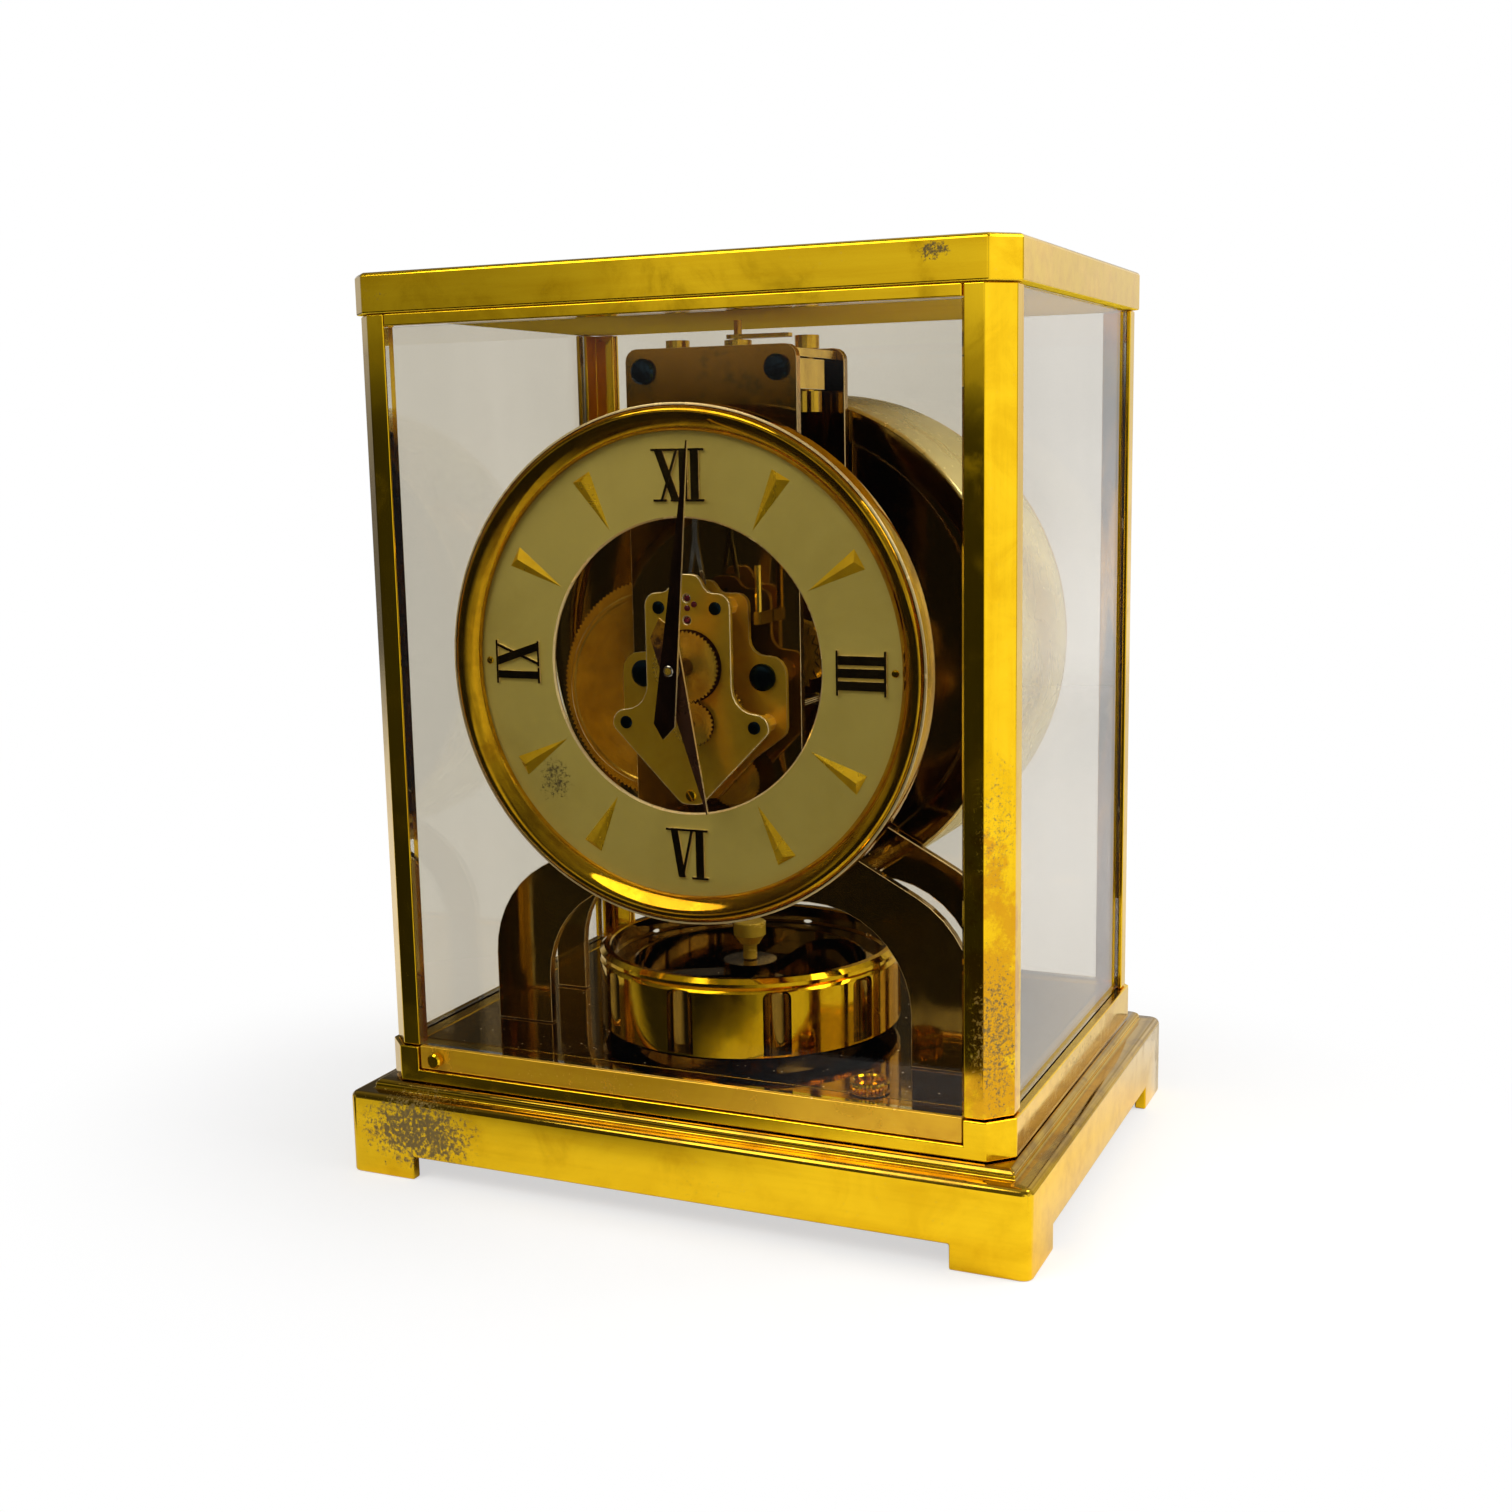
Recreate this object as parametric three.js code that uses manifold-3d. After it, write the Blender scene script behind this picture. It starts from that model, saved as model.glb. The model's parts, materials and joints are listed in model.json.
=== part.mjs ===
// Torsion pendulum clock in a glazed brass case.
// Millimetres. X runs to the right, Y from the front of the clock to its back, and Z up.
// The origin is the middle of the underside, so the clock stands on Z = 0.
import * as THREE from "three";
import { mergeVertices } from "three/addons/utils/BufferGeometryUtils.js";
import Module from "manifold-3d";

const wasm = await Module();
wasm.setup();

// Clearances
const SEAT_GAP = 0.3;
const PIVOT_GAP = 0.3;
const RUNNING_GAP = 0.5;
const KNURL_DEPTH = 0.35;

// Plinth
const PLINTH_WIDTH = 180;
const PLINTH_DEPTH = 135;
const PLINTH_HEIGHT = 21.2;
const PLINTH_CORNER = 2.5;
const PLINTH_EDGE = 1.4;
const PLINTH_WALL = 3;
const PLINTH_DECK = 3.4;
const PLINTH_STEP_HEIGHT = 2.3;
const PLINTH_STEP_MARGIN = 1.6;
const PLINTH_STEP_COVE = 1.2;
const FOOT_LENGTH = 19;
const FOOT_HEIGHT = 6;

// Case frame, posts and cap
const FRAME_WIDTH = 166.6;
const FRAME_DEPTH = 122.2;
const FRAME_CHAMFER = 5.6;
const FRAME_HEIGHT = 9.2;
const FRAME_RAIL = 8.3;
const FLOOR_REBATE = 3;
const FLOOR_THICKNESS = 2.2;
const POST_HEIGHT = 181.8;
const POST_INSET = 0.8;
const POST_FACE = 10.2;
const POST_THICKNESS = 4.6;
const POST_CHAMFER = 5.6;
const CAP_WIDTH = 167.4;
const CAP_DEPTH = 121.4;
const CAP_CHAMFER = 5.8;
const CAP_HEIGHT = 9.6;
const CAP_EDGE = 0.9;
const GLASS_THICKNESS = 2;
const GLASS_TONGUE = 1.2;
const GLASS_GROOVE_DEPTH = 1.5;
const GLASS_SET_IN = 1.4;

// Front door
const DOOR_RAIL_HEIGHT = 6;
const DOOR_RAIL_THICKNESS = 3.2;
const DOOR_TOP_RAIL_HEIGHT = 2.8;
const DOOR_SET_BACK = 0.6;
const DOOR_GLASS_SET_IN = 0.3;
const DOOR_KNOB_RADIUS = 1.9;
const DOOR_KNOB_LENGTH = 2;
const DOOR_KNOB_EDGE = 0.4;
const DOOR_KNOB_INSET = 5.2;

// Spirit level
const LEVEL_RADIUS = 5;
const LEVEL_HEIGHT = 2.8;
const LEVEL_RIM = 1.1;
const LEVEL_SINK = 1.2;
const LEVEL_X = 46.5;
const LEVEL_Y = -50.5;
const LEVEL_KNURLS = 16;

// Movement frame: two arched plates that stand on the floor
const FRONT_PLATE_Y = -31;
const REAR_PLATE_Y = 0;
const ARCH_PLATE_THICKNESS = 2.4;
const ARCH_TOP = 206;
const COLUMN_HALF_WIDTH = 22.5;
const COLUMN_CORNER = 3;
const COLUMN_FILLET = 5;
const SHOULDER_INNER_HEIGHT = 91.1;
const SHOULDER_OUTER_HEIGHT = 67.5;
const SHOULDER_ROUND = 28;
const LEG_OVERHANG = 0.6;
const FRONT_LEG_WIDTH = 16;
const REAR_LEG_WIDTH = 9;
const ARCH_CROWN = 72;
const ARCH_ROUND = 26;
const ARCH_PILLAR_X = 34;
const ARCH_PILLAR_Z = 79;
const ARCH_PILLAR_RADIUS = 3;

// Suspension head between the plates
const BRIDGE_HALF_WIDTH = 20.5;
const BRIDGE_TOP = 205.2;
const BRIDGE_THICKNESS = 2;
const BLOCK_HEIGHT = 7.3;
const BLOCK_DEPTH = 20;
const BRIDGE_SCREW_X = 17.5;
const BRIDGE_SCREW_SET_BACK = 2;
const BRIDGE_SCREW_RADIUS = 1.5;
const BRIDGE_SCREW_HEAD_RADIUS = 3;
const BRIDGE_SCREW_HEAD_HEIGHT = 3.2;
const BRIDGE_NUT_RADIUS = 3.4;
const BRIDGE_NUT_HEIGHT = 5;
const SUSPENSION_HEAD_RADIUS = 3.4;
const SUSPENSION_HEAD_FLANGE = 2.6;
const NUT_KNURLS = 10;
const REGULATOR_LENGTH = 14;
const REGULATOR_THICKNESS = 1;
const REGULATOR_HUB_RADIUS = 2.6;
const REGULATOR_TIP_WIDTH = 2.4;
const REGULATOR_PIN_RADIUS = 1;
const REGULATOR_PIN_HEIGHT = 4.8;

// Torsion pendulum
const PENDULUM_Y = -14;
const RING_RADIUS = 38.8;
const RING_WALL = 9;
const RING_BOTTOM = 36.2;
const RING_TOP = 56.5;
const RING_CHAMFER = 1.3;
const RING_RIM_HEIGHT = 2.2;
const RING_RIM_BEVEL = 1.1;
const RING_SIDES = 40;
const FLUTES = 10;
const FLUTE_WIDTH = 7;
const FLUTE_DEPTH = 2.2;
const FLUTE_TOP_MARGIN = 3.9;
const FLUTE_BOTTOM_MARGIN = 1.2;
const FLUTE_PHASE = 2.4;
const SPIDER_Z = 45;
const SPIDER_THICKNESS = 3;
const SPIDER_ARM_WIDTH = 7;
const SPIDER_ARMS = 3;
const HUB_RADIUS = 7;
const HUB_TOP = 51;
const HUB_BOTTOM = 39;
const NECK_RADIUS = 1.8;
const NECK_TOP = 55.2;
const COLLAR_FOOT_RADIUS = 2.52;
const COLLAR_RADIUS = 4.2;
const COLLAR_BOTTOM = 57.6;
const COLLAR_TOP = 61.2;
const WIRE_RADIUS = 0.5;
const WIRE_SOCKET_RADIUS = 1.4;
const ROLLER_Z = 177.6;
const ROLLER_THICKNESS = 1.4;
const ROLLER_RADIUS = 3.2;
const IMPULSE_PIN_OFFSET = 2.4;
const IMPULSE_PIN_RADIUS = 0.4;
const IMPULSE_PIN_LENGTH = 3.4;

// Bellows drum behind the rear plate
const DRUM_CENTRE_Z = 130.3;
const DRUM_RADIUS = 65.4;
const DRUM_DEPTH = 44;
const DRUM_WALL = 1.4;
const DRUM_EDGE = 0.8;
const DRUM_COVER_THICKNESS = 1.6;
const DRUM_COVER_RIM = 5;
const DRUM_COVER_DOME = 2;
const DRUM_RING_RADIUS = 57;
const DRUM_RING_STEP = 0.8;
const BELLOWS_RADIUS = 58;
const BELLOWS_FOLD = 6;
const BELLOWS_FOLDS = 3;
const BELLOWS_LENGTH = 40;

// Dial, its carrier and the bezel
const DIAL_CENTRE_Z = 131.2;
const DIAL_Y = -49;
const DIAL_THICKNESS = 0.9;
const DIAL_OPENING_RADIUS = 35;
const DIAL_RADIUS = 57;
const MARKER_OUTER_RADIUS = 51.6;
const MARKER_LENGTH = 14.5;
const MARKER_WIDTH = 5.2;
const MARKER_HEIGHT = 0.8;
const CARRIER_THICKNESS = 1.4;
const CARRIER_OPENING_RADIUS = 37;
const CARRIER_RADIUS = 59.8;
const CARRIER_POST_RADIUS = 2.2;
const CARRIER_POST_X = 16;
const CARRIER_POST_RISE = 42;
const BEZEL_RADIUS = 61.5;
const BEZEL_LIP_RADIUS = 55.1;
const BEZEL_SKIRT = 1.2;
const BEZEL_FRONT_Y = -53.2;
const BEZEL_BACK_Y = -46.6;
// Points of the crown of the bezel, as shares of its width and height
const BEZEL_CROWN = [[0, 0.15], [0.3, 0.9], [0.68, 1], [1, 0.45]];

// Movement plates
const MOVEMENT_FRONT_Y = -46.5;
const MOVEMENT_REAR_Y = -38.3;
const MOVEMENT_PLATE_THICKNESS = 1.5;
const MOVEMENT_PILLAR_RADIUS = 2.2;
const UPPER_PILLAR_X = 7.4;
const UPPER_PILLAR_Z = 145;
const EAR_PILLAR_X = 16.9;
const EAR_PILLAR_Z = 117.1;
const LOWER_PILLAR_Z = 100;
const STANDOFF_X = 15.8;
const STANDOFF_Z = 128.1;
const STANDOFF_RADIUS = 3;
const STEADY_ROD_X = 14.6;
const STEADY_ROD_RADIUS = 0.9;
const STEADY_ROD_BOTTOM = 143.6;
const STEADY_ROD_TOP = 154.6;
const STEADY_FOOT = 3;

// Wheel train. Every wheel is given by its tooth count and the module of its mesh.
const ADDENDUM = 0.75;
const DEDENDUM = 1.05;
const ARBOR_RADIUS = 0.7;
const WHEEL_THICKNESS = 0.7;
const PINION_LENGTH = 1.3;
const MOTION_MODULE = 0.351;
const HOUR_WHEEL_TEETH = 48;
const HOUR_PINION_TEETH = 30;
const THIRD_WHEEL_TEETH = 60;
const CENTRE_PINION_TEETH = 8;
const CENTRE_WHEEL_TEETH = 48;
const ESCAPE_PINION_TEETH = 12;
const ESCAPE_DISTANCE = 10.9;
const SECOND_MODULE = 0.28;
const SECOND_WHEEL_TEETH = 48;
const THIRD_PINION_TEETH = 10;
const FIRST_MODULE = 0.3;
const FIRST_WHEEL_TEETH = 45;
const SECOND_PINION_TEETH = 12;
const BARREL_MODULE = 0.4;
const BARREL_TEETH = 139;
const FIRST_PINION_TEETH = 18;
const WINDING_MODULE = 0.8;
const WINDING_WHEEL_TEETH = 52;
const WINDING_PINION_TEETH = 25;
const THIRD_ANGLE = -83.3;
const FIRST_ARBOR_X = 6.5;
const FIRST_ARBOR_Z = 102.3;
const BARREL_ANGLE = 140;
const WINDING_ANGLE = 15.6;
const BARREL_DRUM_RADIUS = 24.5;
const BARREL_DRUM_FRONT_Y = -27.8;
const BARREL_DRUM_DEPTH = 7;
const BARREL_EDGE = 1;
const BARREL_WHEEL_Y = -25.2;
const BARREL_WHEEL_THICKNESS = 1.4;
const BARREL_ARBOR_RADIUS = 2;
const WINDING_WHEEL_Y = -19.3;
const WINDING_WHEEL_THICKNESS = 1;
const PULLEY_RADIUS = 8;
const PULLEY_GROOVE = 1.6;
const PULLEY_Y = -9;
const PULLEY_WIDTH = 5;
const PULLEY_ARBOR_RADIUS = 1.2;
const WINDING_ARMS = 5;
const WINDING_HUB_RADIUS = 3;
const WINDING_RIM = 3;
const WINDING_ARM_WIDTH = 1.4;
const CLICK_ANGLE = -58;
const CLICK_LEAN = -16;
const CLICK_HUB_RADIUS = 1.5;
const CLICK_STUD_RADIUS = 0.8;
const FIRST_BOSS_LENGTH = 1.5;
const FIRST_BOSS_RADIUS = 2.4;
const CLICK_LENGTH = 3.6;

// Escapement
const ESCAPE_TEETH = 15;
const ESCAPE_RADIUS = 3.4;
const ESCAPE_ROOT_RADIUS = 2.4;
const LEVER_PIVOT_RISE = 5.2;
const LEVER_THICKNESS = 0.8;
const LEVER_ARM_WIDTH = 1.3;
const LEVER_SPLIT_RISE = 13.5;
const LEVER_SPREAD = 2.4;
const PALLET_REACH = 2.9;
const PALLET_DROP = 2.4;
const FORK_GAP = 0.7;
const FORK_TINE = 0.6;
const FORK_DEPTH = 2.4;
const FORK_RISE = 28.7;
const FORK_WINDOW_HALF_WIDTH = 5;
const FORK_WINDOW_HALF_HEIGHT = 4;

// Motion work and hands
const CENTRE_ARBOR_RADIUS = 0.9;
const HOUR_TUBE_RADIUS = 2.2;
const MOTION_WHEEL_Y = -48.2;
const HOUR_HAND_Y = -55.3;
const MINUTE_HAND_Y = -57;
const HAND_THICKNESS = 0.7;
const HAND_EDGE = 0.25;
const HOUR_BOSS_RADIUS = 3.2;
const MINUTE_BOSS_RADIUS = 2;
const MINUTE_HAND_LENGTH = 53.2;
const MINUTE_HAND_TAIL = 16.3;
const MINUTE_HAND_HALF_WIDTH = 2.7;
const MINUTE_HAND_WIDEST = 12.8;
const HOUR_HAND_LENGTH = 34.7;
const HOUR_HAND_TAIL = 12.5;
const HOUR_HAND_HALF_WIDTH = 3.4;
const HOUR_HAND_WIDEST = 8.5;
const MINUTE_HAND_ANGLE = 6.5;
const HOUR_HAND_ANGLE = 166.2;

// Underside: levelling screws and the pendulum lock
const LEVELLING_SIDE_INSET = 18;
const LEVELLING_END_INSET = 17.5;
const LEVELLING_STEM_RADIUS = 2.5;
const LEVELLING_WHEEL_RADIUS = 7;
const LEVELLING_WHEEL_HEIGHT = 3.5;
const LEVELLING_WHEEL_Z = 8;
const LEVELLING_KNURLS = 10;
const LEVELLING_TIP = 0.4;
const LEVELLING_TIP_ROUND = 1.2;
const LOCK_PIN_RADIUS = 3;
const LOCK_PIN_DROP = 1.6;
const LOCK_PIN_BOTTOM = 3;
const LOCK_HUB_RADIUS = 7;
const LOCK_LEVER_THICKNESS = 3;
const LOCK_LEVER_WIDTH = 6;
const LOCK_LEVER_CLEARANCE = 3.5;
const LOCK_TAB_DROP = 5;

// Smoothness of round forms, in sides
const FINE = 44;
const MEDIUM = 32;
const TINY = 8;
const COARSE = 16;
const SMALL = 10;
const ARBOR_SIDES = 6;
const PULLEY_SIDES = 12;
const CARRIER_SIDES = 24;
const DRUM_SIDES = 40;
const ARC_SAG = 0.1;

// Finishes: colour, roughness and metalness
const POLISHED_BRASS = [0xd9a520, 0.18, 1];
const GILT = [0xe0b040, 0.25, 1];
const DARK_MIRROR = [0x3a2c14, 0.12, 1];
const GLASS = [0xe8f0ee, 0.02, 0, 0.2];
const STEEL = [0xb8b8b4, 0.3, 1];
const DIAL_SILVER = [0xb9ad7e, 0.45, 0.7];
const HAND_BROWN = [0x3a2416, 0.3, 0.8];

// Heights that follow from the sizes above
const frameBottom = PLINTH_HEIGHT + PLINTH_STEP_HEIGHT + SEAT_GAP;
const frameTop = frameBottom + FRAME_HEIGHT;
const postBottom = frameTop + SEAT_GAP;
const postTop = postBottom + POST_HEIGHT;
const capBottom = postTop + SEAT_GAP;
const frontPlateBack = FRONT_PLATE_Y + ARCH_PLATE_THICKNESS;
const plateBottom = frameTop + SEAT_GAP;

// Solids and booleans

function closed(geometry) {
  const bare = geometry.clone();
  bare.deleteAttribute("normal");
  bare.deleteAttribute("uv");
  const merged = mergeVertices(bare, 1e-4);
  const index = [];
  for (let i = 0; i < merged.index.count; i += 3) {
    const corners = [0, 1, 2].map((k) => merged.index.getX(i + k));
    if (new Set(corners).size === 3) {
      index.push(...corners);
    }
  }
  merged.setIndex(index);
  return merged;
}

function manifoldOf(geometry) {
  const bare = closed(geometry);
  return new wasm.Manifold(new wasm.Mesh({
    numProp: 3,
    vertProperties: new Float32Array(bare.attributes.position.array),
    triVerts: new Uint32Array(bare.index.array),
  }));
}

function geometryOf(manifold) {
  const mesh = manifold.getMesh();
  const geometry = new THREE.BufferGeometry();
  const stride = mesh.numProp;
  const positions = [];
  for (let i = 0; i < mesh.vertProperties.length; i += stride) {
    positions.push(...mesh.vertProperties.slice(i, i + 3));
  }
  geometry.setAttribute("position", new THREE.Float32BufferAttribute(positions, 3));
  geometry.setIndex([...mesh.triVerts]);
  return geometry;
}

function fuse(first, ...others) {
  return geometryOf(others.reduce((sum, next) => sum.add(manifoldOf(next)), manifoldOf(first)));
}

function cut(first, ...others) {
  return geometryOf(others.reduce((rest, next) => rest.subtract(manifoldOf(next)), manifoldOf(first)));
}

// Outlines

// The points of one rounded corner between the points before and after it.
function roundedCorner([x, y, radius], before, after) {
  const corner = new THREE.Vector2(x, y);
  if (!radius) {
    return [corner];
  }
  const back = new THREE.Vector2(before[0] - x, before[1] - y).normalize();
  const ahead = new THREE.Vector2(after[0] - x, after[1] - y).normalize();
  const half = Math.acos(back.dot(ahead)) / 2;
  const centre = back.clone().add(ahead).normalize().multiplyScalar(radius / Math.sin(half)).add(corner);
  const start = back.multiplyScalar(radius / Math.tan(half)).add(corner);
  const end = ahead.multiplyScalar(radius / Math.tan(half)).add(corner);
  const turn = Math.PI - 2 * half;
  const steps = Math.max(2, Math.ceil(turn / (2 * Math.acos(1 - ARC_SAG / radius))));
  const from = start.clone().sub(centre);
  const side = Math.sign(from.cross(end.clone().sub(centre)));
  return Array.from({ length: steps + 1 }, (_, i) => (
    from.clone().rotateAround(new THREE.Vector2(), side * turn * i / steps).add(centre)
  ));
}

// A closed outline through corners given as [x, y, radius].
function roundedOutline(corners) {
  return corners.flatMap((corner, i) => (
    roundedCorner(corner, corners.at(i - 1), corners[(i + 1) % corners.length])
  ));
}

// Right half of a symmetrical outline, from its top to its bottom, with its mirror image.
function mirrored(half) {
  return [...half, ...half.map(([x, y, radius]) => [-x, y, radius]).reverse()];
}

function shapeOf(points) {
  return new THREE.Shape(points);
}

function circlePoints(radius, sides, x = 0, y = 0) {
  return Array.from({ length: sides }, (_, i) => {
    const angle = 2 * Math.PI * i / sides;
    return new THREE.Vector2(x + radius * Math.cos(angle), y + radius * Math.sin(angle));
  });
}

function hole(radius, x, y, sides = 8) {
  return new THREE.Path(circlePoints(radius, sides, x, y));
}

function chamferedRectangle(width, depth, chamfer) {
  const x = width / 2;
  const y = depth / 2;
  return [
    [x - chamfer, -y], [x, -y + chamfer], [x, y - chamfer], [x - chamfer, y],
    [-x + chamfer, y], [-x, y - chamfer], [-x, -y + chamfer], [-x + chamfer, -y],
  ].map(([a, b]) => new THREE.Vector2(a, b));
}

function rectangle(width, depth, radius = 0) {
  const x = width / 2;
  const y = depth / 2;
  return roundedOutline([[x, -y, radius], [x, y, radius], [-x, y, radius], [-x, -y, radius]]);
}

// Forms

function block(x0, x1, y0, y1, z0, z1) {
  return new THREE.BoxGeometry(x1 - x0, y1 - y0, z1 - z0)
    .translate((x0 + x1) / 2, (y0 + y1) / 2, (z0 + z1) / 2);
}

// A slab of an X-Y outline, from the height bottom upwards.
function slabUp(shape, bottom, height) {
  return new THREE.ExtrudeGeometry(shape, { depth: height, bevelEnabled: false }).translate(0, 0, bottom);
}

// A slab of an X-Z outline, from frontY backwards.
function slabBack(shape, frontY, thickness, bevel = {}) {
  return new THREE.ExtrudeGeometry(shape, { depth: thickness, bevelEnabled: false, ...bevel })
    .rotateX(Math.PI / 2)
    .translate(0, frontY + thickness, 0);
}

// A rod along Y.
function rodBack(radius, frontY, backY, sides = SMALL, x = 0, z = 0) {
  return new THREE.CylinderGeometry(radius, radius, backY - frontY, sides)
    .translate(x, (frontY + backY) / 2, z);
}

// A rod along Z.
function rodUp(radius, bottom, top, sides = SMALL, x = 0, y = 0) {
  return new THREE.CylinderGeometry(radius, radius, top - bottom, sides)
    .rotateX(Math.PI / 2)
    .translate(x, y, (bottom + top) / 2);
}

// A turned form about Y, from a profile of [radius, y] that runs anticlockwise.
function turnedBack(profile, sides) {
  const points = profile.map(([radius, y]) => new THREE.Vector2(radius, y));
  const onAxis = profile[0][0] === 0 && profile.at(-1)[0] === 0;
  return new THREE.LatheGeometry(onAxis ? points : [...points, points[0]], sides);
}

// A turned form about Z, from a profile of [radius, z] that runs anticlockwise.
function turnedUp(profile, sides) {
  const upward = profile.map(([radius, z]) => [radius, z]);
  return turnedBack(upward, sides).rotateX(Math.PI / 2);
}

function knurledRodUp(radius, bottom, top, knurls) {
  const points = Array.from({ length: 2 * knurls }, (_, i) => {
    const angle = Math.PI * i / knurls;
    const reach = i % 2 ? radius : radius - KNURL_DEPTH;
    return new THREE.Vector2(reach * Math.cos(angle), reach * Math.sin(angle));
  });
  return slabUp(shapeOf(points), bottom, top - bottom);
}

// A slab whose top and bottom edges are eased, of full size at its middle.
function easedSlab(points, bottom, height, edge, segments = 2) {
  return new THREE.ExtrudeGeometry(shapeOf(points), {
    depth: height - 2 * edge,
    bevelThickness: edge,
    bevelSize: edge,
    bevelOffset: -edge,
    bevelSegments: segments,
  }).translate(0, 0, bottom + edge);
}

// A toothed disc about Y. firstTooth is the direction of one tooth, in degrees from +X towards +Z.
function toothedDisc(teeth, module, frontY, thickness, firstTooth) {
  const pitchRadius = teeth * module / 2;
  const root = pitchRadius - DEDENDUM * module;
  const tip = pitchRadius + ADDENDUM * module;
  const points = [];
  for (let i = 0; i < teeth; i += 1) {
    for (const [radius, share] of [[root, -0.5], [tip, 0]]) {
      const angle = THREE.MathUtils.degToRad(firstTooth) + 2 * Math.PI * (i + share) / teeth;
      points.push(new THREE.Vector2(radius * Math.cos(angle), radius * Math.sin(angle)));
    }
  }
  return slabBack(shapeOf(points), frontY, thickness);
}

// Windows between the arms of a crossed-out wheel, as cutting slabs.
function wheelWindows(arms, innerRadius, outerRadius, armWidth, frontY, thickness) {
  return Array.from({ length: arms }, (_, i) => {
    const middle = 2 * Math.PI * (i + 0.5) / arms;
    const spread = (radius) => Math.PI / arms - Math.asin(armWidth / 2 / radius);
    const arc = (radius, turn, shares) => shares.map((share) => {
      const angle = middle + turn * share * spread(radius);
      return new THREE.Vector2(radius * Math.cos(angle), radius * Math.sin(angle));
    });
    const points = [...arc(outerRadius, 1, [-1, -0.33, 0.33, 1]), ...arc(innerRadius, -1, [-1, 1])];
    return slabBack(shapeOf(points), frontY - RUNNING_GAP, thickness + 2 * RUNNING_GAP);
  });
}

// Places in the movement

const polar = (from, distance, degrees) => {
  const angle = THREE.MathUtils.degToRad(degrees);
  return new THREE.Vector2(from.x + distance * Math.cos(angle), from.y + distance * Math.sin(angle));
};
const meshDistance = (module, ...teeth) => module * (teeth[0] + teeth[1]) / 2;
const directionTo = (from, to) => THREE.MathUtils.radToDeg(Math.atan2(to.y - from.y, to.x - from.x));

// The point at given distances from two centres, on the left of the way from the first to the second.
function reachFrom(first, firstDistance, second, secondDistance) {
  const apart = first.distanceTo(second);
  const along = (firstDistance ** 2 - secondDistance ** 2 + apart ** 2) / (2 * apart);
  const side = Math.sqrt(firstDistance ** 2 - along ** 2);
  const way = second.clone().sub(first).normalize();
  return first.clone().addScaledVector(way, along).add(new THREE.Vector2(-way.y, way.x).multiplyScalar(side));
}

const centreArbor = new THREE.Vector2(0, DIAL_CENTRE_Z);
const motionDistance = meshDistance(MOTION_MODULE, HOUR_WHEEL_TEETH, HOUR_PINION_TEETH);
const thirdArbor = polar(centreArbor, motionDistance, THIRD_ANGLE);
const thirdModule = 2 * motionDistance / (THIRD_WHEEL_TEETH + CENTRE_PINION_TEETH);
const escapeModule = 2 * ESCAPE_DISTANCE / (CENTRE_WHEEL_TEETH + ESCAPE_PINION_TEETH);
const escapeArbor = polar(centreArbor, ESCAPE_DISTANCE, 90);
const leverPivot = polar(escapeArbor, LEVER_PIVOT_RISE, 90);
const firstArbor = new THREE.Vector2(FIRST_ARBOR_X, FIRST_ARBOR_Z);
const secondArbor = reachFrom(
  firstArbor, meshDistance(FIRST_MODULE, FIRST_WHEEL_TEETH, SECOND_PINION_TEETH),
  thirdArbor, meshDistance(SECOND_MODULE, SECOND_WHEEL_TEETH, THIRD_PINION_TEETH),
);
const barrelArbor = polar(
  firstArbor, meshDistance(BARREL_MODULE, BARREL_TEETH, FIRST_PINION_TEETH), BARREL_ANGLE,
);
const windingArbor = polar(
  barrelArbor, meshDistance(WINDING_MODULE, WINDING_WHEEL_TEETH, WINDING_PINION_TEETH), WINDING_ANGLE,
);
const windingTip = (WINDING_PINION_TEETH / 2 + ADDENDUM) * WINDING_MODULE;
const clickNose = polar(windingArbor, windingTip + SEAT_GAP, CLICK_ANGLE);
const clickPivot = polar(clickNose, CLICK_LENGTH, CLICK_LEAN);

// Planes in the movement, from the front to the back
const movementFrontBack = MOVEMENT_FRONT_Y + MOVEMENT_PLATE_THICKNESS;
const movementRearBack = MOVEMENT_REAR_Y + MOVEMENT_PLATE_THICKNESS;
const thirdWheelY = movementFrontBack + RUNNING_GAP;
const centreWheelY = thirdWheelY + WHEEL_THICKNESS + 2 * RUNNING_GAP;
const escapeWheelY = centreWheelY + WHEEL_THICKNESS + 2 * RUNNING_GAP;
const firstWheelY = movementRearBack + 2 * RUNNING_GAP;
const secondWheelY = firstWheelY + WHEEL_THICKNESS + 3 * RUNNING_GAP;

// Sides of the case
const postX = FRAME_WIDTH / 2 - POST_INSET;
const postY = FRAME_DEPTH / 2 - POST_INSET;
const doorHalfWidth = postX - POST_FACE - SEAT_GAP;
const doorFront = -FRAME_DEPTH / 2 + DOOR_SET_BACK;
const doorSeatZ = frameTop - DOOR_RAIL_HEIGHT;
const floorHalfWidth = FRAME_WIDTH / 2 - FRAME_RAIL;
const floorHalfDepth = FRAME_DEPTH / 2 - FRAME_RAIL;
const deckUnderside = PLINTH_HEIGHT - PLINTH_DECK;
const legOuter = DRUM_RADIUS + LEG_OVERHANG;
const levellingX = PLINTH_WIDTH / 2 - LEVELLING_SIDE_INSET;
const levellingY = PLINTH_DEPTH / 2 - LEVELLING_END_INSET;
const lockLeverReach = PENDULUM_Y + PLINTH_DEPTH / 2 - PLINTH_WALL - LOCK_LEVER_CLEARANCE;
const lockPinTop = frameTop - FLOOR_THICKNESS - LOCK_PIN_DROP;

const clock = new THREE.Group();

function bodyAt(x = 0, y = 0, z = 0, parent = clock) {
  const group = new THREE.Group();
  group.position.set(x, y, z);
  parent.add(group);
  return group;
}

function piece(group, name, geometry, [color, roughness, metalness, opacity = 1]) {
  const material = new THREE.MeshStandardMaterial({
    color, roughness, metalness, opacity, transparent: opacity < 1,
  });
  const mesh = new THREE.Mesh(geometry, material);
  mesh.name = name;
  group.add(mesh);
}

// Case

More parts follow.
